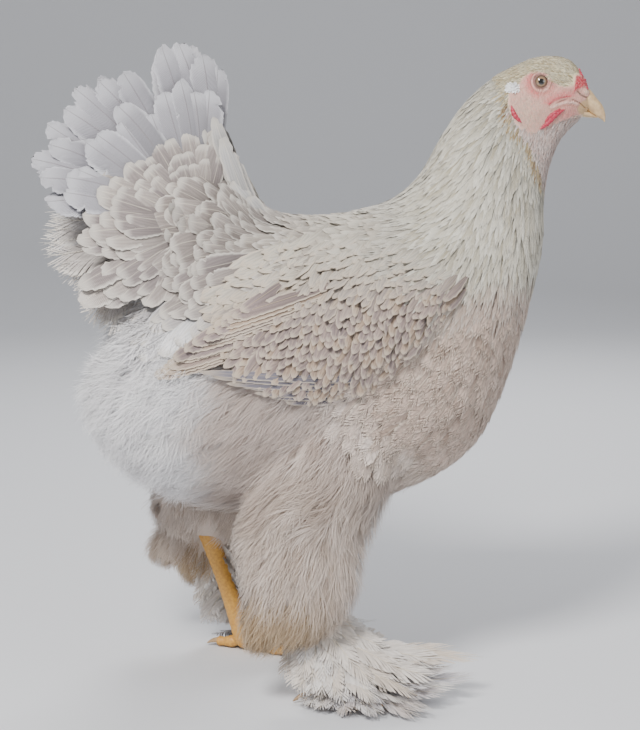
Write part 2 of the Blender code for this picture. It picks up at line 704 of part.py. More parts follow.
def build_shanks(finish):
    for side, word in ((RIGHT, "right"), (LEFT, "left")):
        shank = mesh_object("shank_" + word, *shank_core(side), finish["scale"])
        combine(shank, "UNION", boot_feathers(side))
        below = [foot_core(side)] + foot_feathers(side)
        combine(shank, "DIFFERENCE", [inflated(*form, GAP) for form in [thigh_form(side)] + below])


TOES = {  # name: turn outwards in degrees, length, radius at the root, radius at the tip, joints
    "hind": (162, 0.026, 0.0056, 0.0040, 1),
    "inner": (-30, 0.048, 0.0062, 0.0042, 2),
    "middle": (0, 0.066, 0.0068, 0.0044, 3),
    "outer": (28, 0.052, 0.0062, 0.0042, 3),
}


def toe_line(side, toe):
    turn, length = TOES[toe][:2]
    turn = math.radians(turn) * side
    t = np.linspace(0, 1, TOES[toe][4] + 2)
    direction = np.array([math.cos(turn), math.sin(turn), 0])
    rise = 0.0055 + 0.006 * (1 - t) ** 3
    return t, foot_middle(side) + direction * length * t[:, None] + rise[:, None] * np.array([0, 0, 1.0])


def toe_form(side, toe):
    root, tip = TOES[toe][2:4]
    t, path = toe_line(side, toe)
    radii = root + (tip - root) * t
    return tube(path, radii, 6, (0, 0, 1.0), floor=0.0)


def claw_form(side, toe):
    """A curved, pointed claw just past the end of its toe."""
    turn = math.radians(TOES[toe][0]) * side
    direction = np.array([math.cos(turn), math.sin(turn), 0])
    start = foot_middle(side) + direction * (TOES[toe][1] + GAP) + np.array([0, 0, 0.0058])
    t = np.linspace(0, 1, 4)[:, None]
    path = start + direction * 0.0105 * t + np.array([0, 0, 1.0]) * (0.0012 * t - 0.0048 * t ** 2)
    radii = TOES[toe][3] * 0.72 * (1 - t[:, 0]) ** 0.8 + 0.0004
    return tube(path, radii, 6, (0, 0, 1.0))


def foot_core(side):
    """The knuckle of the foot, from under the shank to the sole."""
    offsets = np.array([(-0.0015, 0, SHANK_FOOT), (0, 0, 0.017), (0.003, 0, 0.009), (0.004, 0, 0.001)])
    radii = SHANK_RADIUS * np.array([1.10, 1.15, 1.35, 1.15])
    return tube(foot_middle(side) + offsets, radii, 10, floor=0.0)


def build_feet(finish):
    for side, word in ((RIGHT, "right"), (LEFT, "left")):
        foot = mesh_object("foot_" + word, *foot_core(side), finish["scale"])
        combine(foot, "UNION", [toe_form(side, toe) for toe in TOES] + foot_feathers(side))
        combine(foot, "DIFFERENCE", [inflated(*claw_form(side, toe), GAP) for toe in TOES])
        for toe in TOES:
            mesh_object(f"claw_{toe}_{word}", *claw_form(side, toe), finish["horn"])


def foot_feathers(side):
    """Two tiers of feathers that fan from the foot forwards, outwards and back. The front ones stand over
    the toes, the others sink to the floor at their tips."""
    fan_turns = (-7, 0, 20, 42, 62, 97, 150)
    fan_reach = (0.104, 0.122, 0.102, 0.089, 0.066, 0.046, 0.041)
    pieces = []
    for turns, share, root, half_width in (
        ((-7, 11, 30, 49, 72, 98, 130), 1.0, 0.0140, 0.0135),
        ((3, 26, 56), 0.72, 0.0205, 0.0135),
    ):
        for turn in turns:
            a = math.radians(turn) * side
            reach = share * np.interp(turn, fan_turns, fan_reach)
            fall = np.interp(turn, (10, 40), (0.010, -0.0095)) + (0.003 if share < 1 else 0)
            direction = np.array([math.cos(a), math.sin(a), 0])
            start = foot_middle(side) + 0.004 * direction + (0.004, 0, root)
            pieces.append(free_vane(start, direction, (0, 0, 1.0), reach - 0.004, half_width, fall / reach))
    return pieces


def finishes():
    return {
        "face": material("pink skin", (0.68, 0.40, 0.36), 0.6),
        "comb": material("red comb skin", (0.60, 0.07, 0.10), 0.5),
        "horn": material("yellow horn", (0.72, 0.48, 0.22), 0.4),
        "eye": material("bay eye", (0.30, 0.18, 0.10), 0.1),
        "hackle": material("cream hackle", (0.72, 0.70, 0.62), 0.8),
        "body": material("fawn body feather", (0.62, 0.54, 0.46), 0.8),
        "fluff": material("white fluff", (0.80, 0.78, 0.78), 0.9),
        "wing": material("fawn wing feather", (0.56, 0.48, 0.40), 0.8),
        "tail": material("lavender tail feather", (0.60, 0.60, 0.63), 0.8),
        "scale": material("yellow scaled skin", (0.75, 0.50, 0.20), 0.5),
    }


def main():
    clear_scene()
    finish = finishes()
    body_cutter = inflated(*whole_body(), GAP)
    build_head(finish)
    build_beak(finish)
    build_eyes(finish)
    build_comb(finish, body_cutter)
    build_face_lobes(finish, body_cutter)
    build_trunk(finish)
    build_tail(finish, body_cutter)
    build_wings(finish, body_cutter)
    build_thighs(finish, body_cutter)
    build_shanks(finish)
    build_feet(finish)
    for thing in bpy.data.objects:
        thing.data.transform(Matrix.Translation((TO_MIDDLE, 0, 0)))


main()
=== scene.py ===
from math import pi, tau

import bpy
import numpy as np
from mathutils import Matrix, Vector
from mathutils.bvhtree import BVHTree


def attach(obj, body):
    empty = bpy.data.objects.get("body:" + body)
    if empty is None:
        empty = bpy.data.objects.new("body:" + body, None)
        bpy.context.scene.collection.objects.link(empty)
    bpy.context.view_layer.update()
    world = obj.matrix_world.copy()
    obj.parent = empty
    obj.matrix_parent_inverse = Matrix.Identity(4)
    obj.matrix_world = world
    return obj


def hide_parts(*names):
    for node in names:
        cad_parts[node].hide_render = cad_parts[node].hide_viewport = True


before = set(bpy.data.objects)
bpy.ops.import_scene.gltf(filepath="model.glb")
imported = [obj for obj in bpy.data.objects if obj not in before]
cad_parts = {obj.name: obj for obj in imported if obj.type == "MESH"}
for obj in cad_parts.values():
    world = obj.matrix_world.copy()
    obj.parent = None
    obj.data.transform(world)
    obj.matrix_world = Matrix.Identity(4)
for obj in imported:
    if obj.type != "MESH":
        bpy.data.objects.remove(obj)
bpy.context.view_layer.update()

cm, mm = 0.01, 0.001
right, left = -1, 1
sideWords = ((right, "Right"), (left, "Left"))
toMiddle = Vector((-0.0039, 0, 0))  # from the point that all places are measured from to the frame's origin

# Arrays and meshes

def linear(hexText):  # sRGB hex to linear light
    c = np.array([int(hexText[i:i + 2], 16) for i in (1, 3, 5)]) / 255
    return np.where(c <= 0.04045, c / 12.92, ((c + 0.055) / 1.055) ** 2.4)


def opaque(hexText):
    return (*linear(hexText), 1.0)


def mixed(first, second, share):  # first at no share, second at a share of 1
    return first * (1 - share) + second * share


def unit(v):
    return v / np.maximum(np.linalg.norm(v, axis=-1, keepdims=True), 1e-9)


def stack(*arrays):  # coordinates side by side as the last axis
    return np.stack(np.broadcast_arrays(*arrays), -1)


def steps(count):
    return np.linspace(0, 1, count)


def turns(count):  # angles once round
    return np.linspace(0, tau, count, endpoint=False)


def bump(distance, width):  # bell curve, 1 at no distance
    return np.exp(-(distance / width) ** 2)


def ramp(x, low, high):  # 0 below low, 1 above high, smooth between
    t = np.clip((x - low) / (high - low), 0, 1)
    return t * t * (3 - 2 * t)


def through(table, t):  # Catmull-Rom curve through the table's rows, at the row numbers t
    table = np.asarray(table, float)
    t = np.clip(np.asarray(t, float), 0, len(table) - 1)
    i = np.minimum(t.astype(int), len(table) - 2)
    f = (t - i)[..., None]
    padded = np.vstack([2 * table[0] - table[1], table, 2 * table[-1] - table[-2]])
    a, b, c, d = (padded[i + k] for k in range(4))
    return b + 0.5 * f * (c - a + f * (2 * a - 5 * b + 4 * c - d + f * (3 * (b - c) + d - a)))


def gridFaces(rows, columns, closed=False):  # four-cornered faces between the points of a grid
    i, j = np.meshgrid(np.arange(rows - 1), np.arange(columns - (not closed)), indexing="ij")
    a, b = i * columns + j, i * columns + (j + 1) % columns
    return stack(a, a + columns, b + columns, b).reshape(-1, 4)


def outward(points, faces):  # turns all faces over where the volume they enclose comes out negative
    t = np.concatenate([f if f.shape[1] == 3 else np.concatenate([f[:, :3], f[:, [0, 2, 3]]]) for f in faces])
    volume = np.einsum("ij,ij->i", points[t[:, 0]], np.cross(points[t[:, 1]], points[t[:, 2]])).sum()
    return points, [f if volume > 0 else f[:, ::-1] for f in faces]


def closedTube(rings):  # the grid of rings, wrapped round, with a fan to the middle of each end ring
    n, m = rings.shape[:2]
    points = np.vstack([rings.reshape(-1, 3), rings[0].mean(0), rings[-1].mean(0)])
    k, after = np.arange(m), (np.arange(m) + 1) % m
    ends = [stack(n * m, k, after), stack(n * m + 1, (n - 1) * m + after, (n - 1) * m + k)]
    return outward(points, [gridFaces(n, m, True)] + ends)


def tubeAlong(path, radii, sides=16, across=(0, 1.0, 0), flat=1.0):
    # rings square to the path, one axis held near across and the other scaled by flat
    heading = unit(np.gradient(path, axis=0))
    first = unit(across - (heading @ across)[:, None] * heading)
    angle = turns(sides)[None, :, None]
    second = flat * np.sin(angle) * np.cross(heading, first)[:, None]
    return closedTube(path[:, None] + np.asarray(radii)[:, None, None] * (np.cos(angle) * first[:, None] + second))


def ellipsoid(centre, radii, around=24, rings=14):  # sphere by its polar and turning angle, stretched
    polar, angle = np.linspace(0.06, pi - 0.06, rings)[:, None], turns(around)
    ball = stack(np.cos(polar), np.sin(polar) * np.cos(angle), np.sin(polar) * np.sin(angle))
    return closedTube(centre + ball * radii)


def joined(forms):  # several meshes, each points and faces, as one
    starts = np.cumsum([0] + [len(p) for p, faces in forms])
    return np.vstack([p for p, faces in forms]), [f + s for s, (p, faces) in zip(starts, forms) for f in faces]


def read(data, key, width=3, kind=float):  # one property of a mesh's points or corners as an array
    values = np.empty(len(data) * width, kind)
    data.foreach_get(key, values)
    return values.reshape(-1, width)


def newPiece(name, points, faces, finish=None):
    mesh = bpy.data.meshes.new(name)
    corners = np.concatenate([f.ravel() for f in faces]).astype(np.int32)
    sizes = np.concatenate([np.full(len(f), f.shape[1]) for f in faces])
    mesh.vertices.add(len(points))
    mesh.vertices.foreach_set("co", np.ravel(points).astype(np.float32))
    mesh.loops.add(len(corners))
    mesh.loops.foreach_set("vertex_index", corners)
    mesh.polygons.add(len(sizes))
    mesh.polygons.foreach_set("loop_start", np.concatenate([[0], np.cumsum(sizes)[:-1]]).astype(np.int32))
    mesh.update(calc_edges=True)
    mesh.polygons.foreach_set("use_smooth", np.ones(len(sizes), bool))
    piece = bpy.data.objects.new(name, mesh)
    bpy.context.scene.collection.objects.link(piece)
    if finish:
        mesh.materials.append(finish)
    return piece


def setColour(piece, name, colours):  # a colour for each point
    layer = piece.data.attributes.new(name, "FLOAT_COLOR", "POINT")
    layer.data.foreach_set("color", np.insert(colours, 3, 1, 1).astype(np.float32).ravel())


def setMap(piece, name, places):  # a UV map from one place for each point
    corners = read(piece.data.loops, "vertex_index", 1, np.int32)[:, 0]
    layer = piece.data.uv_layers.new(name=name)
    layer.data.foreach_set("uv", np.asarray(places, np.float32)[corners].ravel())


def finishPiece(piece, slotName, *replaced):
    piece.data.transform(Matrix.Translation(toMiddle))
    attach(piece, "root")
    if replaced:
        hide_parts(*replaced)


def addNode(tree, kind, settings=None, links=None):  # one shader node with its settings and what feeds it
    node = tree.nodes.new("ShaderNode" + kind)
    for key, value in (settings or {}).items():
        if isinstance(key, str) and hasattr(node, key):
            setattr(node, key, value)
        else:
            node.inputs[key].default_value = value
    for key, source in (links or {}).items():
        tree.links.new(source, node.inputs[key])
    return node


def newMaterial(name, sockets):  # a Principled material with the sockets that are the same all over
    made = bpy.data.materials.new(name)
    made.use_nodes = True
    shader = made.node_tree.nodes["Principled BSDF"]
    for key, value in sockets.items():
        shader.inputs[key].default_value = value
    return made, made.node_tree, shader


# The bird's form

# dorsal x, z, ventral x, z, half width of each section from the bill to the fluff, in centimetres
sections = np.array([
    (22.62, 51.05, 22.45, 49.10, 0.72), (22.20, 52.00, 21.98, 48.60, 1.05), (21.62, 52.95, 21.32, 47.98, 1.40),
    (20.72, 53.66, 20.70, 47.35, 1.75), (19.30, 53.88, 20.18, 46.60, 2.00), (17.85, 53.70, 19.75, 45.60, 2.15),
    (16.30, 53.05, 19.40, 44.40, 2.35), (14.40, 52.00, 19.14, 43.00, 2.75), (12.10, 49.90, 19.00, 41.10, 3.40),
    (10.20, 47.10, 19.00, 38.90, 4.20), (8.50, 44.00, 18.70, 36.30, 5.20), (6.20, 41.90, 18.00, 33.30, 6.40),
    (3.30, 40.95, 17.00, 29.50, 8.00), (0.40, 40.50, 15.60, 25.20, 9.30), (-2.60, 40.50, 13.20, 20.60, 10.10),
    (-5.60, 40.50, 8.60, 17.40, 10.50), (-8.30, 40.00, 2.30, 15.50, 10.50), (-11.10, 38.60, -4.20, 14.90, 10.20),
    (-13.70, 36.30, -9.80, 15.20, 9.50), (-16.00, 33.10, -14.60, 17.10, 8.30), (-18.10, 29.80, -18.00, 20.00, 6.40),
    (-19.70, 27.50, -20.00, 23.00, 3.80), (-20.45, 26.20, -20.60, 24.80, 1.30),
]) * cm
last = len(sections) - 1
cushionForm = np.array([  # the rump under the tail coverts, laid out as the sections are
    (-1.0, 40.0, -8.0, 31.0, 4.0), (-4.8, 41.4, -12.5, 31.0, 6.2), (-7.0, 43.4, -15.3, 32.0, 6.6),
    (-9.4, 45.0, -16.6, 35.0, 5.8), (-11.8, 45.4, -17.0, 38.6, 4.2), (-13.8, 44.6, -16.2, 42.0, 1.8),
]) * cm
wing = {
    "shoulder": np.array([0.1035, 0.342]), "tip": np.array([-0.136, 0.293]),
    "padLength": 0.165, "padThickness": 0.013,
    "stations": (0.0, 0.03, 0.07, 0.11, 0.15, 0.19, 0.22, 0.246),
    "lowEdge": (-0.010, -0.036, -0.056, -0.060, -0.052, -0.032, -0.015, -0.004),
    "highEdge": (0.020, 0.044, 0.060, 0.062, 0.054, 0.036, 0.020, 0.006),
}
wingAxis = unit(wing["tip"] - wing["shoulder"])
wingUp = np.array([wingAxis[1], -wingAxis[0]])
leg = {
    "spread": 0.068, "foot": {right: 0.012, left: -0.070}, "tuft": {right: (0, 0), left: (0.014, 0.026)},
    "hockBack": 0.032, "hockHeight": 0.112,
}
tailRoot = np.array([-0.099, 0, 0.399])


def sectionRings(rows, sides, squareness=2.0):
    # superellipse between a section's dorsal and ventral points: up = cos^(2/n), out = sin^(2/n)
    dorsal, ventral = (stack(rows[:, k], 0, rows[:, k + 1])[:, None] for k in (0, 2))
    c, s = np.cos(turns(sides)), np.sin(turns(sides))
    up, out = (np.sign(v) * np.abs(v) ** (2 / squareness) for v in (c, s))
    rings = (dorsal + ventral) / 2 + up[None, :, None] * (dorsal - ventral) / 2
    rings[:, :, 1] += out * rows[:, 4, None]
    return rings


def loft(table, first, final, rings, sides):
    return closedTube(sectionRings(through(table, np.linspace(first, final, rings)), sides))


# Side view lookup: for each place of a grid over x and z, the body section that passes through it, how far up
# that section it lies from -1 to 1, and the body's half width there.
def makeSideChart():
    x, z = np.linspace(-0.26, 0.26, 261), np.linspace(0.10, 0.56, 231)
    rows = through(sections, np.linspace(0, last, 260))
    dorsal = rows[:, 0:2]
    line = rows[:, 2:4] - dorsal
    length = np.linalg.norm(line, axis=1)
    section, up, width = (np.empty((len(x), len(z))) for _ in range(3))
    for i, here in enumerate(x):
        away = stack(here, z)[:, None] - dorsal
        share = (line * away).sum(-1) / length ** 2
        off = np.abs(line[:, 0] * away[..., 1] - line[:, 1] * away[..., 0]) / length
        best = (off + 10 * np.maximum(0, np.abs(share - 0.5) - 0.6)).argmin(1)
        section[i] = best * last / (len(rows) - 1)
        up[i] = 1 - 2 * share[np.arange(len(z)), best]
        width[i] = rows[best, 4] * np.sqrt(1 - np.clip(up[i], -0.995, 0.995) ** 2)
    return {"x": x, "z": z, "section": section, "up": up, "width": width}


sideChart = makeSideChart()


def atSide(what, x, z):  # bilinear reading of the side view lookup
    gx, gz, t = sideChart["x"], sideChart["z"], sideChart[what]
    i = np.clip((x - gx[0]) / (gx[1] - gx[0]), 0, len(gx) - 1.001)
    j = np.clip((z - gz[0]) / (gz[1] - gz[0]), 0, len(gz) - 1.001)
    a, b = i.astype(int), j.astype(int)
    return mixed(mixed(t[a, b], t[a + 1, b], i - a), mixed(t[a, b + 1], t[a + 1, b + 1], i - a), j - b)


def wingPlace(p, q, lift, side):  # p from shoulder to tip, q upwards, lift out from the body's side
    x, z = (wing["shoulder"][k] + wingAxis[k] * p + wingUp[k] * q for k in (0, 1))
    return stack(x, side * (atSide("width", x, z) + lift), z)


def wingEdges(p):
    return np.interp(p, wing["stations"], wing["lowEdge"]), np.interp(p, wing["stations"], wing["highEdge"])


def wingLift(p, q):  # full over the bow, thin towards the tip and the edges
    low, high = wingEdges(p)
    across = np.clip(np.abs(2 * (q - low) / (high - low) - 1), 0, 1)
    alongIt = np.interp(p, (0.0, 0.02, 0.06, 0.12, 0.165, 0.246), (0.25, 0.7, 1.0, 0.85, 0.30, 0.12))
    return 0.002 + wing["padThickness"] * alongIt * (1 - across ** 2.5)


def wingPad(side):
    p = np.linspace(0, wing["padLength"], 40)[:, None] + np.zeros(24)
    low, high = wingEdges(p)
    q = low + (high - low) * steps(24)
    outer, inner = wingPlace(p, q, wingLift(p, q), side), wingPlace(p, q, -0.004, side)
    return closedTube(np.concatenate([outer, inner[:, ::-1]], 1))


def hock(side):
    return np.array([leg["foot"][side] - leg["hockBack"], side * leg["spread"], leg["hockHeight"]])


def footMiddle(side, height=0.0):
    return np.array([leg["foot"][side], side * leg["spread"], height])


def thighForm(side):
    x = hock(side)[0]
    back, up = leg["tuft"][side]
    stations = np.array([  # x, y, z, radius lengthwise, radius sideways
        (x + 0.042, 0.050, 0.250, 0.050, 0.044), (x + 0.034, 0.058, 0.212, 0.055, 0.048),
        (x + 0.016, 0.063, 0.172, 0.057, 0.050), (x + 0.004, 0.073, 0.138, 0.056, 0.042),
        (x + 0.001, 0.088, 0.110, 0.054, 0.028), (x - 0.010 - back / 2, 0.0905, 0.086 + up / 3, 0.044, 0.0255),
        (x - 0.026 - back, 0.090, 0.064 + up * 0.8, 0.026, 0.020), (x - 0.032 - back, 0.089, 0.048 + up, 0.010, 0.009),
    ])
    rows = through(stations, np.linspace(0, len(stations) - 1, 40))
    return tubeAlong(rows[:, :3] * (1, side, 1), rows[:, 4], 32, flat=(rows[:, 3] / rows[:, 4])[:, None, None])


def asForm(points, normals, faces):  # a surface with what the feathers need to be laid on it
    return {"points": points, "normals": normals, "faces": faces, "faceNormals": unit(normals[faces].mean(1)),
            "tree": BVHTree.FromPolygons(points.tolist(), faces.tolist())}


def remeshed(name, forms, voxel, smoothing):  # the forms fused into one closed surface of small squares
    thing = newPiece(name, *joined(forms))
    fuse = thing.modifiers.new("fuse", "REMESH")
    fuse.mode, fuse.voxel_size = "VOXEL", voxel
    ease = thing.modifiers.new("ease", "SMOOTH")
    ease.factor, ease.iterations = 0.5, smoothing
    mesh = bpy.data.meshes.new_from_object(thing.evaluated_get(bpy.context.evaluated_depsgraph_get()))
    assert len(mesh.loops) == 4 * len(mesh.polygons)
    quads = read(mesh.loops, "vertex_index", 1, np.int32).reshape(-1, 4)
    form = asForm(read(mesh.vertices, "co"), read(mesh.vertex_normals, "vector"), quads)
    bpy.data.objects.remove(thing)
    bpy.data.meshes.remove(mesh)
    return form


envelope = remeshed("envelope", [
    loft(sections, 2, last, 120, 64), loft(cushionForm, 0, 5, 30, 36),
    wingPad(right), wingPad(left), thighForm(right), thighForm(left),
], 0.0034, 4)
print("form", len(envelope["points"]))

# Feather shapes. s runs from root to tip, e across in half widths, h up in half widths.

def outline(s, root, widest, tip):  # root to full width as a sine, then a superellipse down to the tip
    rise = root + (1 - root) * np.sin(np.clip(s / widest, 0, 1) * pi / 2)
    return rise * np.sqrt(np.clip(1 - ((s - widest) / (1 - widest)).clip(0) ** tip, 0.004, 1))


def vaneShape(rows, columns, root, widest, tip, teeth, camber, seed=0, notches=0):
    # a grid whose half width follows the outline; every other row is drawn out, which frays the edge, and
    # notches draw single rows of one side in, where the barbs have parted
    rng = np.random.default_rng(seed)
    s, e = 1 - (1 - steps(rows)) ** 1.3, np.linspace(-1, 1, columns)
    tooth = np.where(np.arange(rows) % 2, teeth, -teeth)[:, None] * (1 + 0.6 * rng.uniform(-1, 1, (rows, columns)))
    side = np.abs(e)[None, :] ** 2
    drawn = np.zeros((rows, columns))
    for row, half in zip(rng.integers(rows // 2, rows - 2, notches), rng.choice((-1, 1), notches)):
        drawn[row] += 0.35 * (half * e > 0) * np.abs(e)
    across = e * outline(s, root, widest, tip)[:, None] * (1 + tooth * side) * (1 - np.clip(drawn, 0, 0.6))
    far = s[:, None] + 0.5 * tooth * side / rows + 0.02 * rng.uniform(-1, 1, (rows, columns)) * side * (teeth > 0)
    return {"place": stack(far, across, -camber * across ** 2).reshape(-1, 3), "faces": gridFaces(rows, columns),
            "vane": stack(0.5 + 0.5 * e[None, :], s[:, None]).reshape(-1, 2)}


def ribbons(s, e, h, half, spread):
    # one ribbon for each row of s, e, h: its two edges lie half apart along s (spread 0) or along e (spread 1)
    ends = [stack(s + k * half * (1 - spread), e + k * half * spread, h) for k in (-1, 1)]
    n, m = s.shape
    faces = (gridFaces(m, 2)[None] + 2 * m * np.arange(n)[:, None, None]).reshape(-1, 4)
    return np.stack(ends, 2).reshape(-1, 3), faces


def barbShape(count, segments, root, widest, tip, lean, split, camber, seed=0):
    # locks of barbs leave the shaft leaning towards the tip; each ends on the outline, and a few thin and part there
    rng = np.random.default_rng(seed)
    q = steps(segments + 1)[None, :]
    parts, vanes, faces, offset = [], [], [], 0
    for side in (-1, 1):
        end = ((np.arange(count) + 1) / count)[:, None]
        end = np.clip(end + 0.25 * rng.uniform(-1, 1, end.shape) / count, 0.03, 1)
        reach = outline(end, root, widest, tip) * (1 + 0.05 * rng.uniform(-1, 1, end.shape))
        start = np.clip(end - lean * (0.5 + 0.5 * reach), 0.0, 0.97)
        loose = split * 2 * rng.uniform(0, 1, end.shape) ** 3
        s = start + (end - start) * q ** 0.85 + loose * 0.03 * q ** 3
        e = side * reach * q
        half = (0.60 / count) * (1.15 - 0.85 * np.clip(loose, 0, 1) * q ** 2)
        h = -camber * e ** 2 + 0.006 * (np.arange(count) % 2)[:, None] + 0.05 * loose * q ** 2
        place, quads = ribbons(s, e, h, half, 0)
        parts.append(place)
        vanes.append(stack(0.5 + 0.5 * side * np.repeat(q + 0 * s, 2), np.repeat(s, 2)))
        faces.append((quads if side > 0 else quads[:, ::-1]) + offset)
        offset += len(place)
    s = np.linspace(0, 0.97, 7)[None, :]
    shaft, quads = ribbons(s, 0 * s, 0.05, 0.045 * (1.15 - s), 1)
    return {"place": np.vstack(parts + [shaft]), "vane": np.vstack(vanes + [stack(0.5, np.repeat(s, 2))]),
            "faces": np.vstack(faces + [quads[:, ::-1] + offset])}


def tuftShape(strands, segments, spread, rise, thin, seed=0):
    # loose barbs from one root, fanned by spread and lifted by rise, each thinning to a point
    rng = np.random.default_rng(seed)
    q = steps(segments + 1)[None, :]
    reach = rng.uniform(0.55, 1.0, (strands, 1))
    fan = np.linspace(-1, 1, strands)[:, None] * spread + 0.25 * rng.uniform(-1, 1, (strands, 1))
    lift = rise * rng.uniform(-0.3, 1.0, (strands, 1))
    e = fan * q ** 1.2 + 0.4 * rng.uniform(-1, 1, (strands, 1)) * q ** 3
    half = thin * (1.1 - q) ** 0.7 * rng.uniform(0.7, 1.2, (strands, 1))
    place, faces = ribbons(reach * q, e, lift * q ** 1.6, half, 1)
    vane = stack(np.tile([0.35, 0.65], e.size), np.repeat(reach * q, 2))
    return {"place": place, "vane": vane, "faces": faces[:, ::-1]}


def several(count, shape, *settings, **more):
    return [shape(*settings, seed=k, **more) for k in range(count)]


def grow(lines, normals, halfWidths, shapes, tints, seed=0, roll=0.0, tips=None):
    # carries a shape along each line: (s, e, h) goes to line(s) + half width * (e * side(s) + h * normal(s))
    rng = np.random.default_rng(seed)
    count, stations = lines.shape[:2]
    heading = unit(np.gradient(lines, axis=1))
    flat = unit(normals - (normals * heading).sum(-1, keepdims=True) * heading)
    sides, roll = np.cross(flat, heading), np.broadcast_to(roll, count)[:, None, None]
    normals, sides = np.cos(roll) * flat - np.sin(roll) * sides, np.cos(roll) * sides + np.sin(roll) * flat
    halfWidths = np.broadcast_to(halfWidths, count)
    which = rng.permutation(count) % len(shapes)
    made, offset = {key: [] for key in ("points", "faces", "vane", "up", "tint", "owner")}, 0
    for k, shape in enumerate(shapes):
        mine = np.flatnonzero(which == k)
        if not len(mine):
            continue
        s, e, h = shape["place"].T
        size, within = len(s), np.clip(s, 0, 1)
        weights = np.clip(1 - np.abs((within * (stations - 1))[:, None] - np.arange(stations)), 0, 1)
        long = np.linalg.norm(lines[mine, -1] - lines[mine, 0], axis=-1)[:, None, None]
        middle, side, normal, onward, up = (
            np.einsum("vk,nkc->nvc", weights, a[mine]) for a in (lines, sides, normals, heading, flat))
        across = halfWidths[mine][:, None, None] * (e[None, :, None] * side + h[None, :, None] * normal)
        made["points"].append((middle + (s - within)[None, :, None] * long * onward + across).reshape(-1, 3))
        made["up"].append(up.reshape(-1, 3))
        first = offset + size * np.arange(len(mine))[:, None, None]
        made["faces"].append((shape["faces"][None] + first).reshape(-1, 4))
        made["vane"].append(np.tile(shape["vane"], (len(mine), 1)))
        tint = np.repeat(tints[mine], size, 0)
        if tips is not None:
            tint = mixed(tint, np.repeat(tips[mine], size, 0), ramp(made["vane"][-1][:, 1:], 0.45, 1.0))
        made["tint"].append(tint)
        made["owner"].append(np.repeat(mine, size))
        offset += size * len(mine)
    return {"roots": lines[:, 0], **{key: np.concatenate(parts) for key, parts in made.items()}}


def growMixed(rng, lines, ups, half, shapes, first, second, seed, roll, vary=(0.85, 1.15)):
    # half widths about one in millimetres, colours between two, each feather rolled a little
    n = len(lines)
    tint = mixed(first, second, rng.uniform(0, 1, (n, 1)))
    return grow(lines, ups, half * mm * rng.uniform(*vary, n), shapes, tint, seed, roll * rng.normal(0, 1, n))


def together(parts):  # several grown parts as one
    faces = joined([(part["points"], [part["faces"]]) for part in parts])[1]
    owners = np.cumsum([0] + [len(part["roots"]) for part in parts])
    return {"faces": np.concatenate(faces), "owner": np.concatenate([p["owner"] + o for p, o in zip(parts, owners)]),
            **{key: np.vstack([part[key] for part in parts]) for key in ("points", "vane", "tint", "roots", "up")}}


def unwrapped(p):  # the skin unrolled: the trunk by its sections and the angle round it, the legs round their axes
    onLeft, side = p[:, 1] > 0, np.where(p[:, 1] > 0, left, right)
    angle = np.arccos(np.clip(atSide("up", p[:, 0], p[:, 2]), -1, 1)) / pi * side
    trunk = stack(atSide("section", p[:, 0], p[:, 2]) / last, 0.5 + 0.5 * angle)
    turn = np.arctan2(side * p[:, 1] - leg["spread"], p[:, 0] - np.where(onLeft, hock(left)[0], hock(right)[0])) / tau
    return np.where((p[:, 2] < 0.14)[:, None], stack(p[:, 2] / 0.2, 0.25 + 0.5 * onLeft + 0.45 * turn), trunk)


def coatPiece(name, slotName, finish, part, *replaced, soft=0.5):
    # soft is the share of the form's own normal in the shading, so that loose strands light as one coat
    p, quads, up = part["points"], part["faces"], part["up"]
    facing = (np.cross(p[quads[:, 2]] - p[quads[:, 0]], p[quads[:, 3]] - p[quads[:, 1]]) * up[quads[:, 0]]).sum(1)
    piece = newPiece(name, p, [np.where(facing[:, None] < 0, quads[:, ::-1], quads)], finishes[finish])
    own = read(piece.data.vertex_normals, "vector", 3, np.float32)
    own = own * np.where((own * up).sum(1, keepdims=True) < 0, -1, 1)
    layer = piece.data.attributes.new("custom_normal", "FLOAT_VECTOR", "POINT")
    layer.data.foreach_set("vector", unit(mixed(own, unit(up), soft)).astype(np.float32).ravel())
    setColour(piece, "tint", part["tint"])
    setMap(piece, "vane", part["vane"])
    spot = unwrapped(part["roots"])
    low, high = spot.min(0), spot.max(0)
    spot = 0.01 + 0.98 * (spot - low) / np.maximum(high - low, 1e-6)
    setMap(piece, "OFBake", spot[part["owner"]] + 0.003 * (part["vane"] - 0.5))
    finishPiece(piece, slotName, *replaced)
    print(name, 2 * len(quads), "triangles")


